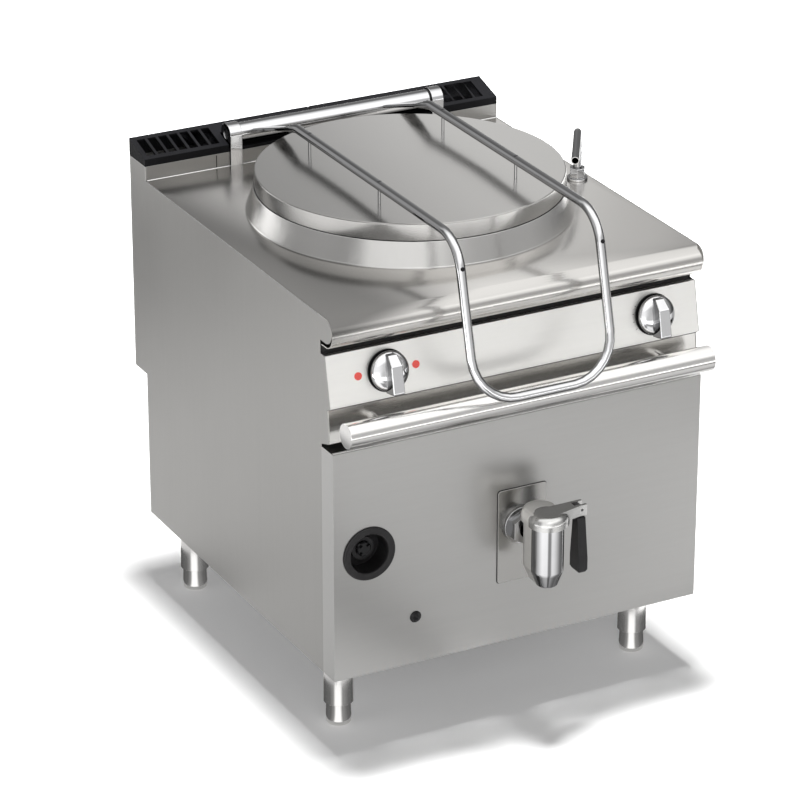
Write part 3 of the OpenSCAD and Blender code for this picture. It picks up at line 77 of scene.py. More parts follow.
Material = bpy.types.Material
Mesh = bpy.types.Mesh
Piece = bpy.types.Object
Shape = bmesh.types.BMesh


class Body(str, Enum):
    """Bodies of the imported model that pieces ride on."""

    CABINET = "cabinet"
    LID = "lid_group"
    SPOUT = "spout_arm"
    GAS_GRIP = "gas_grip"
    WATER_GRIP = "water_grip"
    LEVER = "lever"


class Slot(str, Enum):
    """Names of the record's material slots, passed along with the pieces."""

    BRUSHED = "brushed_steel"
    FINE = "fine_steel"
    DARK = "dark_steel"
    CHROME = "polished_chrome"
    BLACK_IRON = "black_cast_iron"
    BLACK_PLASTIC = "black_plastic"
    RUBBER = "black_rubber"


class Grain(Enum):
    """Direction in which a sheet was brushed."""

    ALONG_X = (0.03, 1.0, 1.0)
    ALONG_Y = (1.0, 0.03, 1.0)
    ALONG_Z = (1.0, 1.0, 0.03)


# Node tools and shared shader groups


def feed(tree: Tree, node: Node, feeds: dict[str | int, object]) -> None:
    """Sets or links the inputs of a node.

    Args:
        tree: The tree.
        node: The node.
        feeds: Value or source socket of each input, by name or number.
    """
    for label, value in feeds.items():
        if isinstance(value, Socket):
            tree.links.new(value, node.inputs[label])
        else:
            node.inputs[label].default_value = value


def put(tree: Tree, kind: str, feeds: dict[str | int, object] | None = None, **settings: object) -> Node:
    """Adds a node to a tree.

    Args:
        tree: The tree.
        kind: Type of the node.
        feeds: Value or source socket of each input, by name or number.
        **settings: Properties of the node.

    Returns:
        The node.
    """
    node = tree.nodes.new(kind)
    for label, value in settings.items():
        setattr(node, label, value)
    feed(tree, node, feeds or {})
    return node


def calculate(tree: Tree, operation: str, *terms: Socket | float) -> Socket:
    """Adds a Math node.

    Args:
        tree: The tree.
        operation: What it calculates.
        *terms: Values or source sockets of its inputs.

    Returns:
        Its result.
    """
    return put(tree, "ShaderNodeMath", dict(enumerate(terms)), operation=operation).outputs[0]


def shader_group(name: str, inputs: dict[str, str], outputs: Sequence[str]) -> tuple[Tree, Sockets, Node]:
    """Makes an empty shader group with named sockets.

    Args:
        name: Name of the group.
        inputs: Socket type of each input, by name.
        outputs: Names of the outputs, which are values.

    Returns:
        The tree, the sockets that give its inputs and its output node.
    """
    tree = bpy.data.node_groups.new(name, "ShaderNodeTree")
    for label, kind in inputs.items():
        tree.interface.new_socket(name=label, in_out="INPUT", socket_type=kind)
    for label in outputs:
        tree.interface.new_socket(name=label, in_out="OUTPUT", socket_type=FLOAT)
    return tree, put(tree, "NodeGroupInput").outputs, put(tree, "NodeGroupOutput")


def drawn_grain_group() -> Tree:
    """Fine lines of a brushed sheet.

    Returns:
        The group, with inputs Vector, Stretch and Fineness and outputs Tone and Height.
    """
    inputs = {"Vector": VECTOR, "Stretch": VECTOR, "Fineness": FLOAT}
    tree, given, sink = shader_group("drawn_grain", inputs, ("Tone", "Height"))
    factors = {0: given["Vector"], 1: given["Stretch"]}
    place = put(tree, "ShaderNodeVectorMath", factors, operation="MULTIPLY").outputs[0]
    lines = {"Vector": place, "Scale": given["Fineness"], "Detail": 3.0, "Roughness": 0.65}
    fine = put(tree, "ShaderNodeTexNoise", lines).outputs["Fac"]
    bands = {"Vector": place, "Scale": calculate(tree, "MULTIPLY", given["Fineness"], 0.12), "Detail": 2.0}
    broad = put(tree, "ShaderNodeTexNoise", bands).outputs["Fac"]
    blend = put(tree, "ShaderNodeMix", {"A": fine, "B": broad, "Factor": 0.4})
    feed(tree, sink, {"Tone": blend.outputs["Result"], "Height": fine})
    return tree


def handling_group() -> Tree:
    """Soft unevenness from wiping and handling.

    Returns:
        The group, with inputs Vector and Size and the output Mask.
    """
    tree, given, sink = shader_group("handling_marks", {"Vector": VECTOR, "Size": FLOAT}, ("Mask",))
    place = {"Vector": given["Vector"], "Scale": given["Size"]}
    cloud = put(tree, "ShaderNodeTexNoise", {**place, "Detail": 2.0})
    limits = {"Value": cloud.outputs["Fac"], "From Min": 0.3, "From Max": 0.7}
    shape = put(tree, "ShaderNodeMapRange", limits, interpolation_type="SMOOTHSTEP")
    feed(tree, sink, {"Mask": shape.outputs["Result"]})
    return tree


def pitted_group() -> Tree:
    """Sand-cast or moulded surface, as a height and a mask of its hollows.

    Returns:
        The group, with inputs Vector and Size and outputs Height and Hollows.
    """
    inputs = {"Vector": VECTOR, "Size": FLOAT}
    tree, given, sink = shader_group("pitted_surface", inputs, ("Height", "Hollows"))
    place = {"Vector": given["Vector"], "Scale": given["Size"]}
    grit = put(tree, "ShaderNodeTexNoise", {**place, "Detail": 6.0, "Roughness": 0.7})
    cells = put(tree, "ShaderNodeTexVoronoi", place)
    limits = {"Value": cells.outputs["Distance"], "From Min": 0.1, "From Max": 0.6}
    hollow = put(tree, "ShaderNodeMapRange", limits).outputs["Result"]
    height = calculate(tree, "ADD", grit.outputs["Fac"], hollow)
    feed(tree, sink, {"Height": height, "Hollows": hollow})
    return tree


def painted_sheen_group() -> Tree:
    """Painted sheen: a slow change of tone in one direction that stands in for a polished sheet's changing
    reflection, and the fine rings of a turned sheet.

    Returns:
        The group, with inputs Vector, Centre and Slope and outputs Sheen and Rings.
    """
    inputs = {"Vector": VECTOR, "Centre": VECTOR, "Slope": VECTOR}
    tree, given, sink = shader_group("painted_sheen_and_rings", inputs, ("Sheen", "Rings"))
    ends = {0: given["Vector"], 1: given["Centre"]}
    offset = put(tree, "ShaderNodeVectorMath", ends, operation="SUBTRACT").outputs["Vector"]
    factors = {0: offset, 1: given["Slope"]}
    across = put(tree, "ShaderNodeVectorMath", factors, operation="DOT_PRODUCT").outputs["Value"]
    # The Sheen output is painted light: a smooth ramp from 0 to 1 along the slope, which the materials put
    # into the base colour.
    limits = {"Value": across, "From Min": -1.0, "From Max": 1.0}
    sheen = put(tree, "ShaderNodeMapRange", limits, interpolation_type="SMOOTHSTEP")
    length = put(tree, "ShaderNodeVectorMath", {0: offset}, operation="LENGTH").outputs["Value"]
    rings = put(tree, "ShaderNodeTexNoise", noise_dimensions="1D")
    feed(tree, rings, {"W": length, "Scale": 400.0})
    feed(tree, sink, {"Sheen": sheen.outputs["Result"], "Rings": rings.outputs["Fac"]})
    return tree


class SharedGroups:
    """The shader groups, each made once."""

    def __init__(self) -> None:
        """Builds every group."""
        self.grain = drawn_grain_group()
        self.handling = handling_group()
        self.pitted = pitted_group()
        self.sheen = painted_sheen_group()


GROUPS = SharedGroups()


class MaterialDraft:
    """A material under construction: its tree, its Principled shader and its object coordinates."""

    def __init__(self, name: str, base: Colour, metallic: float, roughness: float) -> None:
        """Starts a material.

        Args:
            name: Name of the material.
            base: Base colour in linear values.
            metallic: Metallic value.
            roughness: Roughness value.
        """
        self.material = bpy.data.materials.new(name)
        self.material.use_nodes = True
        self.tree = self.material.node_tree
        self.shader = self.tree.nodes["Principled BSDF"]
        self.shader.inputs["Base Color"].default_value = (*base, 1.0)
        self.shader.inputs["Metallic"].default_value = metallic
        self.shader.inputs["Roughness"].default_value = roughness
        self.place = self.tree.nodes.new("ShaderNodeTexCoord")

    def group(self, tree: Tree, **values: float | Point) -> Node:
        """Places a shared group that reads object coordinates.

        Args:
            tree: The group to place.
            **values: Values of its other inputs, by name.

        Returns:
            The group node.
        """
        node = put(self.tree, "ShaderNodeGroup", node_tree=tree)
        feed(self.tree, node, {"Vector": self.place.outputs["Object"], **values})
        return node

    def colour_between(self, mask: Socket, low: Colour, high: Colour) -> None:
        """Lets a mask run the base colour from one colour to another.

        Args:
            mask: Value from 0 to 1.
            low: Colour where the mask is 0.
            high: Colour where the mask is 1.
        """
        mix = put(self.tree, "ShaderNodeMix", data_type="RGBA")
        feed(self.tree, mix, {"A": (*low, 1.0), "B": (*high, 1.0), "Factor": mask})
        feed(self.tree, self.shader, {"Base Color": mix.outputs["Result"]})

    def roughness_between(self, mask: Socket, low: float, high: float) -> None:
        """Lets a mask run the roughness from one value to another.

        Args:
            mask: Value from 0 to 1.
            low: Roughness where the mask is 0.
            high: Roughness where the mask is 1.
        """
        ramp = put(self.tree, "ShaderNodeMapRange", {"Value": mask, "To Min": low, "To Max": high})
        feed(self.tree, self.shader, {"Roughness": ramp.outputs["Result"]})

    def bump(self, height: Socket, depth: float, strength: float) -> None:
        """Lets a height raise the surface.

        Args:
            height: Value from 0 to 1.
            depth: Height in metres of a full step.
            strength: Share of the effect.
        """
        values = {"Height": height, "Distance": depth, "Strength": strength}
        node = put(self.tree, "ShaderNodeBump", values)
        feed(self.tree, self.shader, {"Normal": node.outputs["Normal"]})

    def paint_rim_shade(self, share: float) -> None:
        """Paints shade into the base colour: darker where the surface turns away from the eye, as a dark rim
        on polished metal.

        Args:
            share: Share of the colour that stays at the rim.
        """
        facing = put(self.tree, "ShaderNodeLayerWeight").outputs["Facing"]
        start, end = PAINTED_RIM_SHADE_REACH
        limits = {"Value": facing, "From Min": start, "From Max": end, "To Min": 1.0, "To Max": share}
        ramp = put(self.tree, "ShaderNodeMapRange", limits, interpolation_type="SMOOTHSTEP")
        colour = self.shader.inputs["Base Color"].links[0].from_socket
        scale = put(self.tree, "ShaderNodeVectorMath", operation="SCALE")
        feed(self.tree, scale, {0: colour, "Scale": ramp.outputs["Result"]})
        feed(self.tree, self.shader, {"Base Color": scale.outputs["Vector"]})


def darker(colour: Colour, share: float) -> Colour:
    """Returns the colour times a share."""
    return (colour[0] * share, colour[1] * share, colour[2] * share)


@dataclass(frozen=True)
class BrushedSteel:
    """Stainless sheet with a fine drawn grain."""

    name: str
    tint: Colour
    grain: Grain
    roughness: float
    contrast: float
    fineness: float = 900.0

    def make(self) -> Material:
        """Builds the material."""
        draft = MaterialDraft(self.name, self.tint, 1.0, self.roughness)
        grain = draft.group(GROUPS.grain, Stretch=self.grain.value, Fineness=self.fineness)
        marks = draft.group(GROUPS.handling, Size=5.0)
        low, high = darker(self.tint, 1 - self.contrast), darker(self.tint, 1 + self.contrast)
        draft.colour_between(grain.outputs["Tone"], low, high)
        draft.roughness_between(marks.outputs["Mask"], self.roughness - 0.01, self.roughness + 0.015)
        return draft.material


@dataclass(frozen=True)
class PaintedSheenSteel:
    """Stainless sheet with a painted sheen: its base colour runs from darker to lighter from one side to the
    other, standing in for the change of its reflection.
    """

    name: str
    tint: Colour
    centre: Point
    slope: Point
    roughness: float
    contrast: float

    def make(self) -> Material:
        """Builds the material."""
        draft = MaterialDraft(self.name, self.tint, 1.0, self.roughness)
        sheen = draft.group(GROUPS.sheen, Centre=self.centre, Slope=self.slope)
        # Painted sheen: the tint runs from darker to lighter along the slope.
        low, high = darker(self.tint, 1 - self.contrast), darker(self.tint, 1 + self.contrast)
        draft.colour_between(sheen.outputs["Sheen"], low, high)
        draft.roughness_between(sheen.outputs["Rings"], self.roughness - 0.03, self.roughness + 0.03)
        draft.bump(sheen.outputs["Rings"], depth=1e-6, strength=0.3)
        return draft.material


@dataclass(frozen=True)
class PolishedMetal:
    """Mirror-bright plated or polished metal with faint handling marks and a painted dark rim where it turns
    away from the eye.
    """

    name: str
    tint: Colour
    roughness: float
    # Share of the base colour left where the painted rim shade is darkest.
    rim: float = 0.15

    def make(self) -> Material:
        """Builds the material."""
        draft = MaterialDraft(self.name, self.tint, 1.0, self.roughness)
        marks = draft.group(GROUPS.handling, Size=22.0)
        draft.colour_between(marks.outputs["Mask"], self.tint, darker(self.tint, 0.96))
        # Painted shade: the colour darkens towards the rim.
        draft.paint_rim_shade(self.rim)
        draft.roughness_between(marks.outputs["Mask"], self.roughness, self.roughness + 0.04)
        return draft.material


@dataclass(frozen=True)
class CastSurface:
    """Cast iron, raw or under black enamel."""

    name: str
    tint: Colour
    metallic: float
    roughness: float
    depth: float = 6e-5

    def make(self) -> Material:
        """Builds the material."""
        draft = MaterialDraft(self.name, self.tint, self.metallic, self.roughness)
        pits = draft.group(GROUPS.pitted, Size=420.0)
        marks = draft.group(GROUPS.handling, Size=14.0)
        draft.colour_between(marks.outputs["Mask"], self.tint, darker(self.tint, 1.5))
        draft.roughness_between(pits.outputs["Hollows"], self.roughness, self.roughness + 0.15)
        draft.bump(pits.outputs["Height"], depth=self.depth, strength=0.5)
        draft.shader.inputs["Specular IOR Level"].default_value = 0.15
        return draft.material


@dataclass(frozen=True)
class MouldedPlastic:
    """Moulded plastic or rubber with a slight texture."""

    name: str
    tint: Colour
    roughness: float
    depth: float = 1e-5

    def make(self) -> Material:
        """Builds the material."""
        draft = MaterialDraft(self.name, self.tint, 0.0, self.roughness)
        pits = draft.group(GROUPS.pitted, Size=900.0)
        marks = draft.group(GROUPS.handling, Size=30.0)
        draft.colour_between(marks.outputs["Mask"], self.tint, darker(self.tint, 1.25))
        draft.roughness_between(marks.outputs["Mask"], self.roughness, self.roughness + 0.08)
        draft.bump(pits.outputs["Height"], depth=self.depth, strength=0.35)
        draft.shader.inputs["Specular IOR Level"].default_value = 0.3
        return draft.material


@dataclass(frozen=True)
class LampLens:
    """Red lens of a signal lamp, faintly lit from behind."""

    name: str
    tint: Colour
    glow: float

    def make(self) -> Material:
        """Builds the material."""
        draft = MaterialDraft(self.name, self.tint, 0.0, 0.25)
        pits = draft.group(GROUPS.pitted, Size=1400.0)
        draft.colour_between(pits.outputs["Hollows"], self.tint, darker(self.tint, 0.85))
        draft.bump(pits.outputs["Height"], depth=2e-5, strength=0.3)
        draft.shader.inputs["Emission Color"].default_value = (*self.tint, 1.0)
        draft.shader.inputs["Emission Strength"].default_value = self.glow
        draft.shader.inputs["Coat Weight"].default_value = 0.6
        return draft.material


@dataclass(frozen=True)
class WoolBlanket:
    """Loose mineral wool."""

    name: str
    tint: Colour

    def make(self) -> Material:
        """Builds the material."""
        draft = MaterialDraft(self.name, self.tint, 0.0, 0.95)
        fibre = draft.group(GROUPS.grain, Stretch=(0.3, 0.3, 1.0), Fineness=300.0)
        draft.colour_between(fibre.outputs["Tone"], darker(self.tint, 0.7), darker(self.tint, 1.15))
        draft.bump(fibre.outputs["Height"], depth=2e-3, strength=0.8)
        return draft.material


class Finishes:
    """Every finish of the pan, made once."""

    def __init__(self) -> None:
        """Builds the materials."""
        along_x, along_y, along_z = Grain.ALONG_X, Grain.ALONG_Y, Grain.ALONG_Z
        # The stainless parts share one steel, but each part's tint is set lighter or darker to paint the tone
        # it shows under the lamps, from the dark side panels to the much lighter control panel.
        self.door = BrushedSteel("door_steel", (0.51, 0.505, 0.494), along_x, 0.3, 0.05).make()
        self.side = BrushedSteel("side_steel", (0.42, 0.413, 0.4), along_z, 0.36, 0.05).make()
        self.fascia = BrushedSteel("fascia_steel", (0.5, 0.492, 0.475), along_x, 0.22, 0.06).make()
        # Painted sheen: the worktop is painted lighter towards the right and the rear and on its nose below
        # the top, the lid lighter towards the right, and the rail darker along its lower half.
        centre, slope = (-0.19, -0.25, 0.9), (8.5, 2.2, -60.0)
        self.top = PaintedSheenSteel("top_steel_painted_sheen", (0.43, 0.42, 0.405), centre, slope, 0.22, 0.55).make()
        centre, slope = (-0.05, 0.075, 0.98), (3.4, -0.6, 0.0)
        self.lid = PaintedSheenSteel("lid_steel_painted_sheen", (0.46, 0.452, 0.438), centre, slope, 0.19, 0.34).make()
        self.collar = BrushedSteel("collar_steel", (0.68, 0.671, 0.655), along_z, 0.22, 0.04).make()
        self.panel = BrushedSteel("panel_steel", (0.94, 0.93, 0.9), along_x, 0.36, 0.04, 1100.0).make()
        centre, slope = (0.0, 0.0, 0.683), (0.0, 0.0, 60.0)
        self.rail = PaintedSheenSteel("rail_steel_painted_sheen", (0.6, 0.592, 0.58), centre, slope, 0.16, 0.5).make()
        self.foot = BrushedSteel("foot_steel", (0.8, 0.79, 0.775), along_z, 0.14, 0.05).make()
        # The channel finish is painted shade: near-black steel for parts that sit in shadow.
        plain, dark, shade = (0.36,) * 3, (0.12,) * 3, (0.045,) * 3
        self.plain = BrushedSteel("plain_steel_sheet", plain, along_y, 0.42, 0.12, 500.0).make()
        self.dark = BrushedSteel("dark_steel_bar", dark, along_x, 0.4, 0.15, 500.0).make()
        self.shade = BrushedSteel("painted_shade_steel_channel", shade, along_x, 0.5, 0.12, 500.0).make()
        self.chrome = PolishedMetal("mirror_chrome", (0.9, 0.9, 0.91), 0.035).make()
        self.satin_chrome = PolishedMetal("satin_chrome", (0.78, 0.775, 0.76), 0.2, 0.4).make()
        self.tap_brushed = BrushedSteel("brushed_tap_body", (0.7, 0.69, 0.67), along_x, 0.3, 0.05).make()
        self.black_iron = CastSurface("enamelled_iron", (0.006, 0.006, 0.007), 0.0, 0.5).make()
        self.grey_iron = CastSurface("raw_iron", (0.22, 0.21, 0.2), 0.8, 0.55, 2e-4).make()
        self.plastic = MouldedPlastic("black_moulding", (0.018, 0.017, 0.018), 0.36).make()
        self.gloss_plastic = MouldedPlastic("glossy_black_moulding", (0.008, 0.008, 0.009), 0.16).make()
        self.ink = MouldedPlastic("printed_mark", (0.02, 0.02, 0.02), 0.5).make()
        self.rubber = MouldedPlastic("rubber_ring", (0.015, 0.015, 0.015), 0.6).make()
        self.brass = PolishedMetal("machined_brass", (0.72, 0.52, 0.24), 0.25).make()
        self.copper = PolishedMetal("drawn_copper", (0.72, 0.38, 0.24), 0.3).make()
        self.lens = LampLens("lamp_lens", (0.85, 0.09, 0.07), 0.35).make()
        self.wool = WoolBlanket("wool_blanket", (0.62, 0.56, 0.4)).make()


# Mesh tools


def link(name: str, mesh: Mesh) -> Piece:
    """Makes an object at the origin from a finished mesh."""
    piece = bpy.data.objects.new(name, mesh)
    bpy.context.scene.collection.objects.link(piece)
    return piece


def shade(mesh: Mesh, smooth_angle: float) -> None:
    """Smooths the faces of a mesh but keeps corners sharper than an angle in degrees crisp."""
    mesh.polygons.foreach_set("use_smooth", [True] * len(mesh.polygons))
    mesh.set_sharp_from_angle(angle=math.radians(smooth_angle))


def from_bmesh(name: str, bm: Shape, smooth_angle: float = CRISP_ANGLE) -> Piece:
    """Turns a bmesh into an object with smooth faces and crisp corners.

    Args:
        name: Name of the piece.
        bm: The geometry; it is freed here.
        smooth_angle: Corners sharper than this many degrees stay crisp.

    Returns:
        The new object.
    """
    mesh = bpy.data.meshes.new(name)
    bm.to_mesh(mesh)
    bm.free()
    shade(mesh, smooth_angle)
    return link(name, mesh)


def joined_copy(node: str) -> Shape:
    """Copies a CAD node's mesh and joins its loose triangles."""
    bm = bmesh.new()
    bm.from_mesh(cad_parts[node].data)
    bmesh.ops.remove_doubles(bm, verts=bm.verts, dist=MERGE_DISTANCE)
    return bm


def settle(piece: Piece) -> Piece:
    """Replaces a piece's mesh by its evaluated one and takes the modifiers off.

    Args:
        piece: Object with live modifiers.

    Returns:
        The same object with a plain mesh.
    """
    bpy.context.view_layer.update()
    graph = bpy.context.evaluated_depsgraph_get()
    shaped = piece.evaluated_get(graph)
    mesh = bpy.data.meshes.new_from_object(shaped, preserve_all_data_layers=True, depsgraph=graph)
    piece.modifiers.clear()
    old = piece.data
    piece.data = mesh
    bpy.data.meshes.remove(old)
    return piece


def evened(piece: Piece, smooth_angle: float) -> Piece:
    """Settles a piece and lets its large faces rule the shading, so that flat sheets look flat.

    Args:
        piece: The piece, with its shape modifiers.
        smooth_angle: Corners sharper than this many degrees stay crisp.

    Returns:
        The same object with a plain mesh.
    """
    settle(piece)
    shade(piece.data, smooth_angle)
    normals = piece.modifiers.new("flat_sheets", "WEIGHTED_NORMAL")
    normals.keep_sharp = True
    normals.weight = 100
    return settle(piece)


def rounded(points: Sequence[Pair], radius: float, steps: int = 4) -> list[Pair]:
    """Rounds each inner corner of an open profile.

    Args:
        points: Corners of the profile.
        radius: Rounding radius, cut down where a side is short.
        steps: Faces across each rounding.

    Returns:
        The profile with its inner corners rounded.
    """
    result = [points[0]]
    for before, corner, after in zip(points, points[1:], points[2:]):
        here, one, two = Vector(corner), Vector(before), Vector(after)
        reach = min(radius, (one - here).length * SIDE_SHARE, (two - here).length * SIDE_SHARE)
        start = here + (one - here).normalized() * reach
        end = here + (two - here).normalized() * reach
        for i in range(steps + 1):
            t = i / steps
            spot = start * (1 - t) ** 2 + here * 2 * t * (1 - t) + end * t**2
            result.append((spot.x, spot.y))
    result.append(points[-1])
    return result


def revolved(profile: Sequence[Pair], place: Matrix, segments: int = ROUND_SEGMENTS) -> Shape:
    """Turns an open or closed profile of radius and height about the local Z axis.

    Args:
        profile: Points of radius and height.
        place: Where the local axes stand.
        segments: Steps round the axis.

    Returns:
        The geometry, closed at its poles and with its faces pointing out.
    """
    bm = bmesh.new()
    rings = []
    for radius, height in profile:
        if radius < POLE_RADIUS:
            rings.append([bm.verts.new(place @ Vector((0, 0, height)))])
            continue
        angles = [FULL_TURN * k / segments for k in range(segments)]
        spots = [Vector((radius * math.cos(a), radius * math.sin(a), height)) for a in angles]
        rings.append([bm.verts.new(place @ spot) for spot in spots])
    for low, high in zip(rings, rings[1:]):
        for k in range(segments):
            corners = [low[k % len(low)], low[(k + 1) % len(low)]]
            corners += [high[(k + 1) % len(high)], high[k % len(high)]]
            unique = list(dict.fromkeys(corners))
            if len(unique) > 2:
                bm.faces.new(unique)
    bmesh.ops.recalc_face_normals(bm, faces=bm.faces)
    return bm


def swept(stations: Sequence[Sequence[Vector]]) -> Shape:
    """Joins rings of points into a tube and caps its ends.

    Args:
        stations: Rings with the same number of points.

    Returns:
        The geometry.
    """
    bm = bmesh.new()
    rings = [[bm.verts.new(point) for point in ring] for ring in stations]
    count = len(rings[0])
    for low, high in zip(rings, rings[1:]):
        for k in range(count):
            bm.faces.new([low[k], low[(k + 1) % count], high[(k + 1) % count], high[k]])
    bm.faces.new(rings[0])
    bm.faces.new(rings[-1])
    bmesh.ops.recalc_face_normals(bm, faces=bm.faces)
    return bm


def lathe(name: str, profile: Sequence[Pair], place: Matrix, segments: int = ROUND_SEGMENTS) -> Piece:
    """Turns a profile and makes it an object with smooth faces.

    Args:
        name: Name of the piece.
        profile: Points of radius and height.
        place: Where the local axes stand.
        segments: Steps round the axis.

    Returns:
        The new object.
    """
    return from_bmesh(name, revolved(profile, place, segments), smooth_angle=30.0)


def set_inputs(modifier: bpy.types.Modifier, values: dict[str, object]) -> None:
    """Sets a Geometry Nodes modifier's inputs by the identifiers of their sockets.

    Args:
        modifier: The modifier, with its tree.
        values: Value of each input, by the socket's name.
    """
    for item in modifier.node_group.interface.items_tree:
        if item.item_type == "SOCKET" and item.in_out == "INPUT" and item.name in values:
            modifier[item.identifier] = values[item.name]


def grown(name: str, tree: Tree, base: Mesh, values: dict[str, object]) -> Piece:
    """Runs a Geometry Nodes tree on a base mesh and keeps the result as a plain mesh.

    Args:
        name: Name of the piece.
        tree: The tree.
        base: Mesh that the tree starts from.
        values: Value of each named input.

    Returns:
        The new object, without its modifier.
    """
    piece = link(name, base)
    modifier = piece.modifiers.new("pattern", "NODES")
    modifier.node_group = tree
    set_inputs(modifier, values)
    return settle(piece)


# Geometry Nodes patterns


def geometry_tree(name: str, inputs: dict[str, str]) -> tuple[Tree, Sockets, Node]:
    """Makes a Geometry Nodes tree that ends in Realize Instances and Set Material.

    Args:
        name: Name of the tree.
        inputs: Socket type of each input between Geometry and Material.

    Returns:
        The tree, the sockets that give its inputs and the Realize Instances node, which takes the pattern.
    """
    tree = bpy.data.node_groups.new(name, "GeometryNodeTree")
    for label, kind in {"Geometry": GEOMETRY, **inputs, "Material": FINISH}.items():
        tree.interface.new_socket(name=label, in_out="INPUT", socket_type=kind)
    tree.interface.new_socket(name="Geometry", in_out="OUTPUT", socket_type=GEOMETRY)
    given = put(tree, "NodeGroupInput").outputs
    realize = put(tree, "GeometryNodeRealizeInstances")
    paint = {"Geometry": realize.outputs["Geometry"], "Material": given["Material"]}
    painted = put(tree, "GeometryNodeSetMaterial", paint).outputs["Geometry"]
    put(tree, "NodeGroupOutput", {"Geometry": painted})
    return tree, given, realize


def fastener_tree() -> Tree:
    """Sets a fastener head on each point, turned to the point's facing.

    Returns:
        The tree, with inputs Head and Material.
    """
    tree, given, realize = geometry_tree("fastener_heads", {"Head": "NodeSocketObject"})
    head = put(tree, "GeometryNodeObjectInfo", {"Object": given["Head"]})
    facing = put(tree, "GeometryNodeInputNamedAttribute", {"Name": "facing"}, data_type="FLOAT_VECTOR")
    aim = {"Vector": facing.outputs["Attribute"]}
    turn = put(tree, "FunctionNodeAlignRotationToVector", aim, axis="Z")
    spots = {"Points": given["Geometry"], "Instance": head.outputs["Geometry"]}
    place = put(tree, "GeometryNodeInstanceOnPoints", {**spots, "Rotation": turn.outputs["Rotation"]})
    feed(tree, realize, {"Geometry": place.outputs["Instances"]})
    return tree


def bead_tree() -> Tree:
    """Lays a round bead along the edges of the base mesh, as a weld or a seam has it.

    Returns:
        The tree, with inputs Radius, Sides and Material.
    """
    tree, given, realize = geometry_tree("laid_bead", {"Radius": FLOAT, "Sides": COUNT})
    path = put(tree, "GeometryNodeMeshToCurve", {"Mesh": given["Geometry"]}).outputs["Curve"]
    size = {"Radius": given["Radius"], "Resolution": given["Sides"]}
    ring = put(tree, "GeometryNodeCurvePrimitiveCircle", size).outputs["Curve"]
    tube = put(tree, "GeometryNodeCurveToMesh", {"Curve": path, "Profile Curve": ring, "Fill Caps": True})
    feed(tree, realize, {"Geometry": tube.outputs["Mesh"]})
    return tree


def tick_tree() -> Tree:
    """Sets short ticks along an arc about the local Z axis.

    Returns:
        The tree, with inputs Count, Radius, First, Step, Length, Width, Height and Material.
    """
    sizes = dict.fromkeys(("Radius", "First", "Step", "Length", "Width", "Height"), FLOAT)
    tree, given, realize = geometry_tree("arc_of_ticks", {"Count": COUNT, **sizes})
    index = put(tree, "GeometryNodeInputIndex").outputs["Index"]
    turn = calculate(tree, "MULTIPLY_ADD", index, given["Step"], given["First"])
    across = calculate(tree, "MULTIPLY", calculate(tree, "COSINE", turn), given["Radius"])
    along = calculate(tree, "MULTIPLY", calculate(tree, "SINE", turn), given["Radius"])
    place = put(tree, "ShaderNodeCombineXYZ", {"X": across, "Y": along})
    points = put(tree, "GeometryNodePoints", {"Count": given["Count"], "Position": place.outputs[0]})
    size = {"X": given["Length"], "Y": given["Width"], "Z": given["Height"]}
    bar = put(tree, "GeometryNodeMeshCube", {"Size": put(tree, "ShaderNodeCombineXYZ", size).outputs[0]})
    spin = put(tree, "ShaderNodeCombineXYZ", {"Z": turn})
    euler = put(tree, "FunctionNodeEulerToRotation", {"Euler": spin.outputs[0]})
    spots = {"Points": points.outputs[0], "Instance": bar.outputs["Mesh"], "Rotation": euler.outputs[0]}
    ticks = put(tree, "GeometryNodeInstanceOnPoints", spots)
    feed(tree, realize, {"Geometry": ticks.outputs["Instances"]})
    return tree


class Patterns:
    """The Geometry Nodes trees, each made once."""

    def __init__(self) -> None:
        """Builds every tree."""
        self.fasteners = fastener_tree()
        self.bead = bead_tree()
        self.ticks = tick_tree()


PATTERNS = Patterns()


def facing_points(name: str, spots: Sequence[Facing]) -> Mesh:
    """Makes a mesh of loose points that know which way they face.

    Args:
        name: Name of the mesh.
        spots: Place and facing of each point.

    Returns:
        The mesh, with the vector attribute facing.
    """
    mesh = bpy.data.meshes.new(name)
    mesh.from_pydata([place for place, _ in spots], [], [])
    layer = mesh.attributes.new("facing", "FLOAT_VECTOR", "POINT")
    layer.data.foreach_set("vector", [value for _, facing in spots for value in facing])
    return mesh


def path_mesh(name: str, runs: Sequence[Sequence[Point]]) -> Mesh:
    """Makes a mesh of edges from lists of points."""
    mesh = bpy.data.meshes.new(name)
    points: list[Point] = []
    edges: list[tuple[int, int]] = []
    for run in runs:
        first = len(points)
        points.extend(run)
        edges.extend((first + i, first + i + 1) for i in range(len(run) - 1))
    mesh.from_pydata(points, edges, [])
    return mesh


def heads(name: str, profile: Sequence[Pair], spots: Sequence[Facing], material: Material) -> Piece:
    """Sets one turned fastener head on each spot.

    Args:
        name: Name of the piece.
        profile: Radius and height of the head, from its seat.
        spots: Place and facing of each head.
        material: Finish of the heads.

    Returns:
        The heads as one piece.
    """
    pattern = lathe(f"{name}_pattern", profile, Matrix.Identity(4), 24)
    values = {"Head": pattern, "Material": material}
    piece = grown(name, PATTERNS.fasteners, facing_points(name, spots), values)
    bpy.data.objects.remove(pattern)
    return piece


def dress(piece: Piece, material: Material) -> Piece:
    """Gives a piece one material."""
    piece.data.materials.clear()
    piece.data.materials.append(material)
    return piece


def dress_nodes(material: Material, *nodes: str) -> None:
    """Gives CAD nodes that stay in view their material."""
    for node in nodes:
        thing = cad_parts[node]
        if not thing.material_slots:
            thing.data.materials.append(material)
        for entry in thing.material_slots:
            entry.material = material


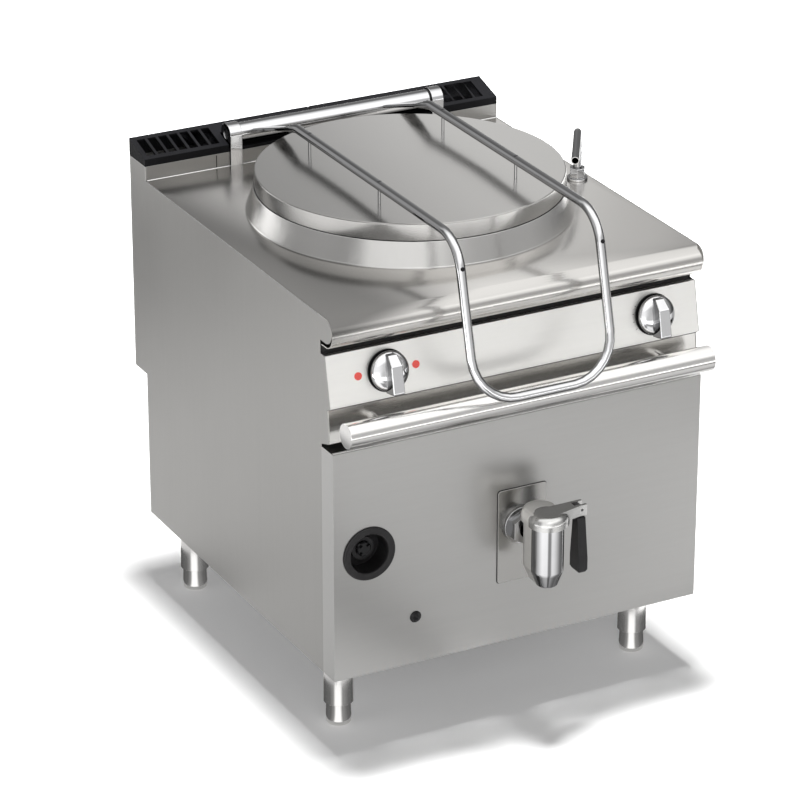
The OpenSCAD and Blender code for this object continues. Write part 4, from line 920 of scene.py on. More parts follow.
def seat(piece: Piece, body: Body, slot: Slot, *nodes: str) -> Piece:
    """Hands a finished piece to the frame.

    Args:
        piece: The finished piece.
        body: Body that it rides on.
        slot: The record's slot that its finish belongs to; not used.
        *nodes: CAD nodes that it stands for.

    Returns:
        The piece.
    """
    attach(piece, body.value)
    if nodes:
        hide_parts(*nodes)
    LOG.info("%s: %d faces on %s", piece.name, len(piece.data.polygons), body.value)
    return piece


def clad(
    node: str,
    kind: str,
    finish: Material,
    slot: Slot,
    width: float,
    body: Body = Body.CABINET,
    reshape: Callable[[Vector], None] | None = None,
    segments: int = 2,
    smooth_angle: float = CRISP_ANGLE,
) -> None:
    """Puts a copy of a CAD node in its place, with its sharp edges slightly rounded and its finish on.

    Args:
        node: CAD node to copy.
        kind: Word that the piece's name adds to the node's.
        finish: Finish of the piece.
        slot: The record's slot that the finish belongs to.
        width: Width of the rounding in metres.
        body: Body that it rides on.
        reshape: Moves one point of the copy, where its shape is changed.
        segments: Faces across the rounding.
        smooth_angle: Corners sharper than this many degrees stay crisp.
    """
    bm = joined_copy(node)
    bmesh.ops.dissolve_limit(bm, angle_limit=math.radians(FLAT_ANGLE), verts=bm.verts, edges=bm.edges)
    piece = from_bmesh(f"{node}_{kind}", bm, ALL_SMOOTH)
    bevel = piece.modifiers.new("soft_edges", "BEVEL")
    bevel.width = width
    bevel.segments = segments
    bevel.limit_method = "ANGLE"
    bevel.angle_limit = math.radians(BEVEL_ANGLE)
    bevel.miter_outer = "MITER_ARC"
    evened(piece, smooth_angle)
    if reshape:
        for vertex in piece.data.vertices:
            reshape(vertex.co)
    seat(dress(piece, finish), body, slot, node)


@dataclass(frozen=True)
class Bead:
    """Round bead along one or more runs of points.

    Attributes:
        name: Name of the piece.
        radius: Radius of the bead.
        runs: The runs.
        sides: Faces round the bead.
    """

    name: str
    radius: float
    runs: Sequence[Sequence[Point]]
    sides: int = 8

    def lay(self, finish: Material, slot: Slot, body: Body = Body.CABINET) -> None:
        """Lays the bead and seats it."""
        values = {"Radius": self.radius, "Sides": self.sides, "Material": finish}
        seat(grown(self.name, PATTERNS.bead, path_mesh(self.name, self.runs), values), body, slot)


# Sub-assemblies


@dataclass
class Cabinet:
    """Outer sheets, handrail and feet.

    Attributes:
        edge: Rounding of folded edges.
        half_width: Half the width of the cabinet.
        worktop_z: Height of the worktop.
        nose_front: Foremost line of the nose.
        nose_back: Line behind which the worktop is flat.
        nose_swell: Growth of the nose.
        nose_drop: Depth of the nose's top below the worktop.
        upstand_y: Front of the upstand.
        seam_x: Distance of the upstand's seams from the middle.
        door_y: Depth of the door's top edge, where a bead in a brighter finish paints a highlight.
        door_z: Height of that edge.
        panel_shadow_y: Depth of the painted shadow line under the control panel.
        panel_shadow_z: Height of that line.
        inset: Distance of the highlight beads on the edges from the sides and the top.
        seam_r: Radius of the seams, of the painted shadow line and of the worktop's highlight beads.
        fillet_r: Radius of the upstand's fillet bead, whose brighter finish paints a highlight.
        door_r: Radius of the door's highlight bead.
        seam_rise: Lower and upper end of the upstand's seams over the worktop.
        seam_proud: Distance by which they stand before the upstand.
        fillet_inset: Distance of the fillet's ends from the highlight beads on the edges.
        panel_shadow_inset: Distance of the painted shadow line's ends from the sides.
    """

    finishes: Finishes
    edge: float = 0.0012
    half_width: float = 0.4
    worktop_z: float = 0.9
    nose_front: float = -0.374
    nose_back: float = -0.318
    nose_swell: float = 1.13
    nose_drop: float = 0.0045
    upstand_y: float = 0.447
    seam_x: float = 0.243
    door_y: float = -0.3747
    door_z: float = 0.6366
    panel_shadow_y: float = -0.3646
    panel_shadow_z: float = 0.7222
    inset: Pair = (0.0009, 0.0007)
    seam_r: float = 0.0009
    fillet_r: float = 0.0028
    door_r: float = 0.0022
    seam_rise: Pair = (0.003, 0.028)
    seam_proud: float = 0.0002
    fillet_inset: float = 0.002
    panel_shadow_inset: float = 0.003

    def build(self) -> None:
        """Builds every piece of the cabinet."""
        sheets = [
            ("side_panel_left", self.finishes.side, Slot.BRUSHED, self.edge),
            ("side_panel_right", self.finishes.side, Slot.BRUSHED, self.edge),
            ("front_panel", self.finishes.door, Slot.BRUSHED, 0.0006),
            ("rail_fascia", self.finishes.fascia, Slot.BRUSHED, self.edge),
            ("control_panel", self.finishes.panel, Slot.FINE, self.edge),
            ("worktop", self.finishes.top, Slot.BRUSHED, 0.0008),
            ("handrail", self.finishes.rail, Slot.FINE, 0.0015),
            ("rail_brackets", self.finishes.rail, Slot.BRUSHED, 0.001),
            ("foot_sleeves", self.finishes.foot, Slot.BRUSHED, 0.0015),
            ("foot_tips", self.finishes.foot, Slot.BRUSHED, 0.001),
        ]
        for node, finish, slot, width in sheets:
            clad(node, "sheet", finish, slot, width, reshape=self.widen_nose if node == "worktop" else None)
        self.lay_beads()
        dress_nodes(self.finishes.plain, "rear_panel", "base_frame")
        # The cross beams take the near-black painted-shade finish and fill the shadowed gaps under the nose
        # and behind the fascia.
        dress_nodes(self.finishes.shade, "cross_beams")

    def widen_nose(self, spot: Vector) -> None:
        """Swells the worktop's rolled nose inwards, while its top and its front stay where they are."""
        if spot.y < self.nose_back and spot.z < self.worktop_z - 1e-4:
            spot.y = self.nose_front + (spot.y - self.nose_front) * self.nose_swell
            sink = min(self.nose_drop, 2.0 * (self.worktop_z - spot.z))
            spot.z = self.worktop_z - sink + (spot.z - self.worktop_z) * self.nose_swell

    def lay_beads(self) -> None:
        """Lays beads along the folded edges and the fillet at the foot of the upstand in a finish brighter
        than their sheets, which paints highlights. Also lays the dark seams on the upstand and a painted
        shadow line under the control panel.
        """
        side, top, back = self.half_width - self.inset[0], self.worktop_z - self.inset[1], self.upstand_y
        edges = [[(x, self.nose_back, top), (x, back, top)] for x in (-side, side)]
        end = side - self.fillet_inset
        fillet = [(-end, back, top), (end, back, top)]
        door = [(-side, self.door_y, self.door_z), (side, self.door_y, self.door_z)]
        # Painted highlights: satin chrome beads, brighter than the sheets, along the worktop's side edges, the
        # upstand's fillet and the door's top edge.
        for bead in (
            Bead("worktop_edge_bead", self.seam_r, edges, 12),
            Bead("upstand_fillet_bead", self.fillet_r, [fillet], 12),
            Bead("door_top_bead", self.door_r, [door], 12),
        ):
            bead.lay(self.finishes.satin_chrome, Slot.FINE)
        low, high, front = top + self.seam_rise[0], top + self.seam_rise[1], back - self.seam_proud
        seams = [[(x, front, low), (x, front, high)] for x in (-self.seam_x, self.seam_x)]
        # The last run is a painted shadow line under the control panel. It takes the near-black channel
        # finish, like the upstand seams.
        end = side - self.panel_shadow_inset
        seams.append([(-end, self.panel_shadow_y, self.panel_shadow_z), (end, self.panel_shadow_y, self.panel_shadow_z)])
        Bead("sheet_seams", self.seam_r, seams).lay(self.finishes.shade, Slot.DARK)


@dataclass
class Flue:
    """Channel behind the worktop and its two castings."""

    finishes: Finishes

    def build(self) -> None:
        """Builds every piece of the flue."""
        clad("flue_riser", "sheet", self.finishes.side, Slot.BRUSHED, width=0.0008)
        for node in ("grille_left", "grille_right"):
            clad(node, "casting", self.finishes.black_iron, Slot.BLACK_IRON, width=0.0015)
        dress_nodes(self.finishes.plain, "flue_duct")


@dataclass
class PanAndFire:
    """Collar, pan and the works under them.

    Attributes:
        pan_y: Place of the pan's axis.
        foot_r: Radius of the collar's foot, where it is welded to the worktop.
    """

    finishes: Finishes
    pan_y: float = 0.075
    foot_r: float = 0.3226

    def build(self) -> None:
        """Dresses the pan and its works."""
        clad("collar", "ring", self.finishes.collar, Slot.FINE, width=0.0006, reshape=self.draw_in_foot)
        dress_nodes(self.finishes.collar, "pan")
        dress_nodes(self.finishes.plain, "chamber", "drain_pipe")
        dress_nodes(self.finishes.brass, "gas_inlet", "gas_valve", "water_inlet", "water_valve")
        dress_nodes(self.finishes.copper, "gas_pipe", "water_pipe")
        dress_nodes(self.finishes.wool, "insulation")
        dress_nodes(self.finishes.grey_iron, "burner")

    def draw_in_foot(self, spot: Vector) -> None:
        """Draws the collar's foot in to its radius."""
        reach = math.hypot(spot.x, spot.y - self.pan_y)
        if reach > self.foot_r:
            spot.x *= self.foot_r / reach
            spot.y = self.pan_y + (spot.y - self.pan_y) * self.foot_r / reach


@dataclass
class Lid:
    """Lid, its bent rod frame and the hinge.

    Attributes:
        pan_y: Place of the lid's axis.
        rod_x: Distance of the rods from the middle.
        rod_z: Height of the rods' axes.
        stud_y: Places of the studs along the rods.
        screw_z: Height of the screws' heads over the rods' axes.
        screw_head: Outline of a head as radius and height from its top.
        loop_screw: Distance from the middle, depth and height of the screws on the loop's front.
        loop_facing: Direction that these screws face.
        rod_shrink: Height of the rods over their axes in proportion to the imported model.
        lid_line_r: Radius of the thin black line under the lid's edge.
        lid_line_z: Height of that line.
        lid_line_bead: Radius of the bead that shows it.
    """

    finishes: Finishes
    pan_y: float = 0.075
    rod_x: float = 0.1485
    rod_z: float = 1.0255
    stud_y: Pair = (0.216, -0.081)
    screw_z: float = 0.0092
    screw_head: tuple[Pair, ...] = (
        (0.0, -0.0016), (0.0042, -0.0016), (0.0042, -0.0002), (0.0034, 0.0), (0.0, 0.0),
    )
    loop_screw: Point = (0.149, -0.4155, 0.9743)
    loop_facing: Point = (0.0, -0.96, 0.28)
    rod_shrink: float = 0.975
    lid_line_r: float = 0.3052
    lid_line_z: float = 0.9502
    lid_line_bead: float = 0.0012

    def build(self) -> None:
        """Builds every piece of the lid."""
        chrome, top = self.finishes.chrome, {"segments": 4, "smooth_angle": 62.0}
        clad("lid", "shell", self.finishes.lid, Slot.BRUSHED, 0.003, Body.LID, **top)
        clad("lid_frame", "polished", chrome, Slot.CHROME, 0.0004, Body.LID, self.lower_rod)
        for node in ("hinge_tube", "lid_studs"):
            clad(node, "polished", chrome, Slot.CHROME, 0.0004, Body.LID)
        self.set_screws()
        self.lay_lid_line()
        for node in ("hinge_post_left", "hinge_post_right"):
            clad(node, "polished", chrome, Slot.CHROME, width=0.001)
        dress_nodes(self.finishes.brass, "hinge_bushes")
        dress_nodes(self.finishes.rubber, "hinge_washer")
        dress_nodes(self.finishes.dark, "hinge_shaft", "balance_spring")

    def lower_rod(self, spot: Vector) -> None:
        """Lowers the rods' upper half towards their axes."""
        if spot.z > self.rod_z:
            spot.z = self.rod_z + (spot.z - self.rod_z) * self.rod_shrink

    def set_screws(self) -> None:
        """Sets the black screw heads on the rods, over the studs and on the loop's front."""
        top = self.rod_z + self.screw_z
        spots = [((side * self.rod_x, y, top), (0.0, 0.0, 1.0)) for side in (-1, 1) for y in self.stud_y]
        loop_x, loop_y, loop_z = self.loop_screw
        spots += [((side * loop_x, loop_y, loop_z), self.loop_facing) for side in (-1, 1)]
        screws = heads("rod_screw_heads", self.screw_head, spots, self.finishes.gloss_plastic)
        seat(screws, Body.LID, Slot.BLACK_PLASTIC)

    def lay_lid_line(self) -> None:
        """Lays a thin black line between the lid and the collar."""
        turns = [FULL_TURN * k / ROUND_SEGMENTS for k in range(ROUND_SEGMENTS + 1)]
        reach = self.lid_line_r
        run = [(reach * math.cos(t), self.pan_y + reach * math.sin(t), self.lid_line_z) for t in turns]
        Bead("lid_gasket_line", self.lid_line_bead, [run]).lay(self.finishes.rubber, Slot.RUBBER, Body.LID)


@dataclass
class Spout:
    """Swan neck and its base."""

    finishes: Finishes

    def build(self) -> None:
        """Builds the spout."""
        clad("spout", "polished", self.finishes.chrome, Slot.CHROME, width=0.0003, body=Body.SPOUT)
        clad("spout_base", "polished", self.finishes.chrome, Slot.CHROME, width=0.0012)


@dataclass
class Controls:
    """Knobs, lamps, igniter and sight plug.

    Attributes:
        knob_y: Depth of the point where a knob's axis meets the panel.
        knob_z: Height of that point.
        panel_out: Direction away from the panel.
        panel_up: Direction up along the panel.
        skirt_r: Radius of a knob's domed skirt.
        skirt_low: Height of the skirt's lower edge over the panel.
        skirt_top: Height of the dome's middle.
        skirt_edge: Height of the skirt's upright edge.
        dome_steps: Rings of the dome.
        knob_x: Places of the gas knob's and the water knob's axes.
        wing: Width of the grip.
        wing_edge: Width of the grip's bevels.
        wing_end: Place along the grip where its narrower end starts.
        wing_taper: Width of that end in proportion to the rest.
        wing_side: Outline of the grip as places along it and heights over the panel.
    """

    finishes: Finishes
    knob_y: float = -0.35485
    knob_z: float = 0.77441
    panel_out: Point = (0.0, -0.97922, 0.20279)
    panel_up: Point = (0.0, 0.20279, 0.97922)
    skirt_r: float = 0.039
    skirt_low: float = 0.008
    skirt_top: float = 0.0262
    skirt_edge: float = 0.005
    dome_steps: int = 12
    knob_x: Pair = (-0.275, 0.301)
    wing: float = 0.024
    wing_edge: float = 0.0022
    wing_end: float = 0.03
    wing_taper: float = 0.8
    wing_side: tuple[Pair, ...] = (
        (-0.041, 0.011), (-0.041, 0.043), (-0.039, 0.045),
        (0.014, 0.045), (0.0345, 0.030), (0.035, 0.014),
    )

    def panel_place(self, x: float) -> Matrix:
        """Axes on the panel: local X to the right, local Y up the panel and local Z out of it."""
        turn = Matrix(((1.0, 0.0, 0.0), self.panel_up, self.panel_out)).transposed().to_4x4()
        return Matrix.Translation((x, self.knob_y, self.knob_z)) @ turn

    def build_knob(self, node: str, body: Body, x: float) -> None:
        """Builds a polished knob: a domed skirt and the grip across it.

        Args:
            node: CAD node that it stands for.
            body: Body that it rides on.
            x: Place of its axis.
        """
        low, top, radius = self.skirt_low, self.skirt_top, self.skirt_r
        base, rise = low + self.skirt_edge, top - low - self.skirt_edge
        angles = [math.radians(90.0 * k / self.dome_steps) for k in range(self.dome_steps)]
        dome = [(radius * math.cos(a), base + rise * math.sin(a)) for a in angles]
        profile = [(0.0, low), (radius - 0.001, low), (radius, low + 0.001), *dome, (0.0, top)]
        skirt = revolved(profile, self.panel_place(x))
        grip = bmesh.new()
        rings = []
        for half in (-self.wing / 2, self.wing / 2):
            widths = [half * (self.wing_taper if s > self.wing_end else 1.0) for s, _ in self.wing_side]
            rings.append([grip.verts.new((w, s, h)) for w, (s, h) in zip(widths, self.wing_side)])
        left, right = rings
        grip.faces.new(left)
        grip.faces.new(list(reversed(right)))
        for k in range(len(left)):
            after = (k + 1) % len(left)
            grip.faces.new([left[after], left[k], right[k], right[after]])
        bmesh.ops.recalc_face_normals(grip, faces=grip.faces)
        edges = grip.edges[:]
        bmesh.ops.bevel(grip, geom=edges, offset=self.wing_edge, segments=3, affect="EDGES", profile=0.5)
        bmesh.ops.transform(grip, matrix=self.panel_place(x), verts=grip.verts)
        wing_mesh = bpy.data.meshes.new(f"{node}_grip")
        grip.to_mesh(wing_mesh)
        grip.free()
        skirt.from_mesh(wing_mesh)
        bpy.data.meshes.remove(wing_mesh)
        knob = evened(from_bmesh(f"{node}_polished", skirt), smooth_angle=50.0)
        seat(dress(knob, self.finishes.chrome), body, Slot.CHROME, node)

    def print_ticks(self, name: str, x: float, first: float, step: float, count: int) -> None:
        """Prints the scale beside a knob.

        Args:
            name: Name of the piece.
            x: Place of the knob's axis.
            first: Turn of the first tick in degrees.
            step: Turn from tick to tick in degrees.
            count: Number of ticks.
        """
        values = {
            "Count": count,
            "Radius": 0.0445,
            "First": math.radians(first),
            "Step": math.radians(step),
            "Length": 0.0032,
            "Width": 0.0009,
            "Height": 0.0006,
            "Material": self.finishes.ink,
        }
        ticks = grown(name, PATTERNS.ticks, bpy.data.meshes.new(name), values)
        ticks.data.transform(self.panel_place(x))
        seat(ticks, Body.CABINET, Slot.BLACK_PLASTIC)

    def build(self) -> None:
        """Builds the controls."""
        gas_x, water_x = self.knob_x
        self.build_knob("gas_knob", Body.GAS_GRIP, gas_x)
        self.build_knob("water_knob", Body.WATER_GRIP, water_x)
        self.print_ticks("water_scale", water_x, 150.0, 20.0, 4)
        gloss = self.finishes.gloss_plastic
        dress_nodes(gloss, "gas_knob_ring", "water_knob_ring", "sight_plug")
        dress_nodes(gloss, "igniter_button", "igniter_body")
        clad("igniter_bezel", "moulding", self.finishes.plastic, Slot.BLACK_PLASTIC, width=0.001)
        dress_nodes(self.finishes.lens, "signal_lamps")
        dress_nodes(self.finishes.dark, "gas_spindle")


@dataclass
class Tap:
    """Draw-off tap with its wall plate and lever.

    Attributes:
        axis: Place of the barrel's axis on the floor plan.
        barrel_r: Radius of the barrel.
        mouth_r: Radius of the mouth's rim.
        cap_r: Radius of the cap.
        mouth_z: Height of the mouth.
        taper_z: Height where the taper ends.
        cap_z: Height of the cap's lower edge.
        top_z: Height of the cap's flat top.
        flat_r: Radius of the flat top.
        bore_r: Radius of the bore.
        seal_r: Radius of the seal round the wall plate.
        seal_y: Distance of its axis before the wall.
        reach: Length by which the body is drawn out to the wall.
        steps: Faces round its back.
        seam: Depth of the groove between the polished barrel and the brushed body behind it.
        cast_axis_y: Depth of the cap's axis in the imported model.
        cast_cap_r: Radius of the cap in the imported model.
        lever_side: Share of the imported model's shape that is kept towards the lever.
    """

    finishes: Finishes
    axis: Pair = (0.0, -0.4845)
    barrel_r: float = 0.0318
    mouth_r: float = 0.021
    cap_r: float = 0.038
    mouth_z: float = 0.324
    taper_z: float = 0.352
    cap_z: float = 0.450
    top_z: float = 0.476
    flat_r: float = 0.024
    bore_r: float = 0.0165
    seal_r: float = 0.0011
    seal_y: float = 0.0004
    reach: float = 0.03
    steps: int = 32
    seam: float = 0.0008
    cast_axis_y: float = -0.477
    cast_cap_r: float = 0.046
    lever_side: Stops = ((0.022, 0.0), (0.05, 1.0))

    def build(self) -> None:
        """Builds the tap."""
        black, chrome = Slot.BLACK_PLASTIC, Slot.CHROME
        clad("tap_plate", "sheet", self.finishes.fascia, Slot.BRUSHED, width=0.0008)
        self.seal_plate()
        clad("tap_inlet", "polished", self.finishes.chrome, chrome, width=0.001)
        self.build_barrel()
        self.build_back()
        clad("tap_bonnet", "polished", self.finishes.satin_chrome, chrome, 0.0015, reshape=self.slim_bonnet)
        clad("tap_lever", "moulding", self.finishes.plastic, black, 0.003, Body.LEVER, segments=3)
        dress_nodes(self.finishes.dark, "tap_lever_pin")
        dress_nodes(self.finishes.brass, "tap_piston")

    def slim_bonnet(self, spot: Vector) -> None:
        """Slims the cap about the barrel's axis, but keeps its shape towards the lever."""
        slim = self.cap_r / self.cast_cap_r
        away = between(self.lever_side, spot.x)
        spot.x *= slim + (1 - slim) * away
        spot.y += (self.axis[1] + (spot.y - self.cast_axis_y) * slim - spot.y) * (1 - away)

    def seal_plate(self) -> None:
        """Lays the thin dark sealing bead round the wall plate."""
        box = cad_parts["tap_plate"].bound_box
        low = [min(corner[k] for corner in box) for k in range(3)]
        high = [max(corner[k] for corner in box) for k in range(3)]
        corners = [(low[0], low[2]), (high[0], low[2]), (high[0], high[2]), (low[0], high[2])]
        flat = rounded([*corners, corners[0], corners[1]], radius=0.006)[1:-1]
        run = [(x, high[1] - self.seal_y, z) for x, z in flat]
        Bead("tap_plate_seal", self.seal_r, [[*run, run[0]]]).lay(self.finishes.rubber, Slot.RUBBER)

    def build_barrel(self) -> None:
        """Turns the polished barrel with its tapered mouth."""
        wall = [
            (self.bore_r, self.mouth_z + 0.03),
            (self.bore_r, self.mouth_z + 0.001),
            (self.mouth_r - 0.002, self.mouth_z),
            (self.mouth_r, self.mouth_z + 0.0015),
            (self.barrel_r - 0.001, self.taper_z),
            (self.barrel_r, self.taper_z + 0.004),
            (self.barrel_r, self.cap_z + 0.002),
        ]
        place = Matrix.Translation((*self.axis, 0.0))
        barrel = lathe("tap_barrel_polished", rounded(wall, radius=0.003), place)
        seat(dress(barrel, self.finishes.chrome), Body.CABINET, Slot.CHROME, "tap_body")

    def build_back(self) -> None:
        """Draws the brushed body and its shoulder out to the wall behind the barrel."""
        lower = [
            (self.mouth_r - 0.001, self.mouth_z + 0.002),
            (self.barrel_r - 0.001, self.taper_z),
            (self.barrel_r, self.taper_z + 0.004),
            (self.barrel_r, self.cap_z),
        ]
        upper = [
            (self.cap_r, self.cap_z),
            (self.cap_r, self.cap_z + 0.01),
            (self.flat_r + 0.008, self.top_z - 0.002),
            (self.flat_r, self.top_z - 0.0004),
        ]
        back, shoulder = rounded(lower, radius=0.004), rounded(upper, radius=0.012, steps=8)
        for name, profile in {"tap_back_brushed": back, "tap_shoulder_brushed": shoulder}.items():
            stations = [self.stadium(radius - self.seam, height) for radius, height in profile]
            piece = from_bmesh(name, swept(stations), smooth_angle=50.0)
            seat(dress(piece, self.finishes.tap_brushed), Body.CABINET, Slot.CHROME)

    def stadium(self, radius: float, height: float) -> list[Vector]:
        """Points of the drawn-out outline at one height.

        Args:
            radius: Radius of its round back.
            height: Height above the floor.

        Returns:
            The points, starting beside the barrel's axis at the right.
        """
        back = self.axis[1] + self.reach
        turns = [math.pi * k / self.steps for k in range(self.steps + 1)]
        points = [Vector((radius * math.cos(t), back + radius * math.sin(t), height)) for t in turns]
        return [Vector((radius, self.axis[1], height)), *points, Vector((-radius, self.axis[1], height))]


# Studio


def between(stops: Sequence[Pair], place: float) -> float:
    """Reads a level at a place from a list of stops, smoothly between them.

    Args:
        stops: Places in rising order with their levels.
        place: Place to read.

    Returns:
        The level.
    """
    if place <= stops[0][0]:
        return stops[0][1]
    for (start, low), (end, high) in zip(stops, stops[1:]):
        if place <= end:
            share = (place - start) / (end - start)
            share = share * share * (3 - 2 * share)
            return low + (high - low) * share
    return stops[-1][1]


def spread(start: float, end: float, steps: int) -> list[float]:
    """Spreads values evenly from start to end, one more than there are steps."""
    return [start + (end - start) * k / steps for k in range(steps + 1)]


def round_about(centre: Pair, radius: float, turn: float, height: float) -> Point:
    """Finds the point at a radius and a turn in degrees about a centre, at a height."""
    angle = math.radians(turn)
    return (centre[0] + radius * math.cos(angle), centre[1] + radius * math.sin(angle), height)


def glow_material() -> Material:
    """Makes a plain glowing material whose brightness is the attribute glow_level."""
    material = bpy.data.materials.new("reflection_glow")
    material.use_nodes = True
    tree = material.node_tree
    tree.nodes.clear()
    level = put(tree, "ShaderNodeAttribute", attribute_name="glow_level").outputs["Fac"]
    glow = put(tree, "ShaderNodeEmission", {"Strength": level}).outputs["Emission"]
    put(tree, "ShaderNodeOutputMaterial", {"Surface": glow})
    return material


def reflector(name: str, rows: Sequence[Sequence[Glow]], material: Material) -> None:
    """Makes a studio reflector that only polished surfaces see.

    Args:
        name: Name of the reflector.
        rows: Rows of points with their brightness.
        material: The glowing material.
    """
    bm = bmesh.new()
    layer = bm.verts.layers.float.new("glow_level")
    grid = []
    for row in rows:
        line = []
        for place, level in row:
            vertex = bm.verts.new(place)
            vertex[layer] = level
            line.append(vertex)
        grid.append(line)
    for low, high in zip(grid, grid[1:]):
        for k in range(len(low) - 1):
            bm.faces.new([low[k], low[k + 1], high[k + 1], high[k]])
    card = from_bmesh(name, bm)
    card.data.materials.append(material)
    card.visible_camera = card.visible_diffuse = card.visible_shadow = False
    card.visible_transmission = card.visible_volume_scatter = False


@dataclass
class Studio:
    """Floor, reflectors, lamps, world and camera.

    Stops give a level at a turn in degrees, a rise in degrees, a radius or a depth. Turns start at +X and go
    towards +Y.

    Attributes:
        camera_place: Place of the camera.
        camera_right: Direction to the right of the picture.
        camera_up: Direction up in the picture.
        camera_back: Direction from the pan to the camera.
        lens_mm: Focal length for a sensor 36 mm wide.
        floor_half: Half the width of the floor.
        floor_tone: Tone of the floor's paint.
        floor_glow: Glow of the floor below the pan, to the eye.
        glow_reach: Distances from the middle where the floor's glow starts and ends its rise to 1.
        world_level: Light that the world gives to matt surfaces.
        dome_radius: Radius of the reflection dome.
        dome_rises: Rises of the dome's rows.
        horizon_stops: Level round the foot of the dome.
        wall_stops: Level round the dome above its foot.
        wall_reach: Share of the wall's level over the rise.
        crown_stops: Level at the top of the dome.
        crown_reach: Share of the crown's level over the rise.
        band_turns: Share of the front band round the dome.
        band_rises: Share of the front band over the rise.
        band_level: Level that the front band adds.
        card_z: Heights of the left card, of the fan before the tap and of the fans round the feet.
        fan_y: Depth of the centre of the fan before the tap.
        fan_radii: Radii of the fan's rows.
        fan_stops: Level round the fan.
        fan_reach: Factor on the fan's level over the radius.
        apron_stops: Level round the fan's outer part.
        apron_reach: Share of the outer part over the radius.
        left_rows: Depths of the rows of the card at the left.
        left_columns: Places of that card's columns.
        left_stops: Level of that card over the depth.
        foot_spots: Places of the four feet.
        foot_radii: Radii of the rows of the fan round a foot.
        foot_stops: Level round the fan of a foot.
        lamps: Name, place, size and power of each lamp.
        lamp_aim: Point that the lamps face.
    """

    camera_place: Point = (-3.3940, -6.3505, 3.7375)
    camera_right: Point = (0.88548, -0.46467, 0.0)
    camera_up: Point = (0.18978, 0.36164, 0.91280)
    camera_back: Point = (-0.42415, -0.80827, 0.40841)
    lens_mm: float = 178.83
    floor_half: float = 30.0
    floor_tone: float = 0.86
    floor_glow: float = 0.22
    glow_reach: Pair = (1.1, 2.4)
    world_level: float = 0.1
    dome_radius: float = 6.0
    dome_rises: Row = (
        -1.0, 1.0, 3.0, 5.0, 7.0, 9.0, 12.0, 15.0, 18.0, 22.0, 26.0,
        30.0, 35.0, 40.0, 47.0, 54.0, 61.0, 68.0, 74.0, 80.0, 89.9,
    )
    horizon_stops: Stops = (
        (-180.0, 0.35), (-161.0, 0.3), (-143.0, 1.4), (-108.0, 1.4), (-90.0, 0.6),
        (-40.0, 0.55), (-20.0, 0.3), (60.0, 0.05), (112.0, 0.1),
        (124.0, 1.4), (140.0, 1.6), (156.0, 0.35), (180.0, 0.35),
    )
    wall_stops: Stops = (
        (-180.0, 0.4), (-160.0, 0.35), (-143.0, 1.0), (-110.0, 1.0), (-75.0, 0.5), (-45.0, 0.45),
        (-15.0, 0.5), (20.0, 0.35), (40.0, 0.6), (62.0, 0.8), (85.0, 0.45), (103.0, 0.45),
        (114.0, 1.7), (126.0, 1.7), (138.0, 0.3), (180.0, 0.4),
    )
    wall_reach: Stops = ((5.0, 0.0), (15.0, 1.0))
    crown_stops: Stops = ((50.0, 1.0), (66.0, 1.2), (90.0, 1.2))
    crown_reach: Stops = ((36.0, 0.0), (52.0, 1.0))
    band_turns: Stops = ((-130.0, 0.0), (-105.0, 1.0), (-25.0, 1.0), (0.0, 0.0))
    band_rises: Stops = ((26.0, 0.0), (35.0, 1.0), (47.0, 1.0), (56.0, 0.0))
    band_level: float = 0.6
    card_z: Row = (0.004, 0.005, 0.006)
    fan_y: float = -0.477
    fan_radii: Row = (0.12, 0.5, 0.8, 1.1, 1.4, 1.55, 1.75, 2.1, 2.5)
    fan_stops: Stops = (
        (-180.0, 0.8), (-150.0, 1.15), (-120.0, 1.1), (-109.0, 0.3), (-98.0, 0.3),
        (-86.0, 0.95), (-50.0, 0.85), (-20.0, 1.1), (0.0, 0.4),
    )
    fan_reach: Stops = ((0.3, 0.76), (1.4, 1.0))
    apron_stops: Stops = (
        (-180.0, 0.35), (-158.0, 0.4), (-146.0, 1.2), (-106.0, 1.2),
        (-92.0, 0.35), (-40.0, 0.25), (-20.0, 0.12), (0.0, 0.08),
    )
    apron_reach: Stops = ((1.4, 0.0), (1.75, 1.0))
    left_rows: Row = (-1.0, -0.5, 0.0, 0.4, 0.8, 1.2, 1.6, 2.0, 2.6, 3.2)
    left_columns: Row = (-2.6, -1.5, -0.45)
    left_stops: Stops = (
        (-0.6, 0.6), (0.3, 0.74), (0.8, 0.84), (1.3, 0.86), (1.7, 0.66), (2.1, 0.26), (3.0, 0.14),
    )
    foot_spots: tuple[Pair, ...] = ((-0.331, -0.256), (0.331, -0.256), (-0.331, 0.404), (0.331, 0.404))
    foot_radii: Row = (0.034, 0.1, 0.2)
    foot_stops: Stops = (
        (-250.0, 0.1), (-180.0, 0.15), (-152.0, 0.3), (-136.0, 1.3),
        (-106.0, 1.3), (-88.0, 0.3), (-40.0, 0.15), (10.0, 0.1),
    )
    lamps: tuple[tuple[str, Point, float, float], ...] = (
        ("key", (0.1, 0.1, 9.0), 1.2, 1250.0),
        ("front", (-1.2, -4.5, 3.0), 2.2, 26.0),
        ("left", (-4.0, -0.5, 2.6), 1.8, 12.0),
    )
    lamp_aim: Point = (0.0, 0.0, 0.6)

    def build(self) -> None:
        """Sets up the studio."""
        self.make_floor()
        self.make_reflectors()
        self.make_world()
        self.make_lamps()
        self.make_camera()
        bpy.context.scene.view_settings.view_transform = "Standard"

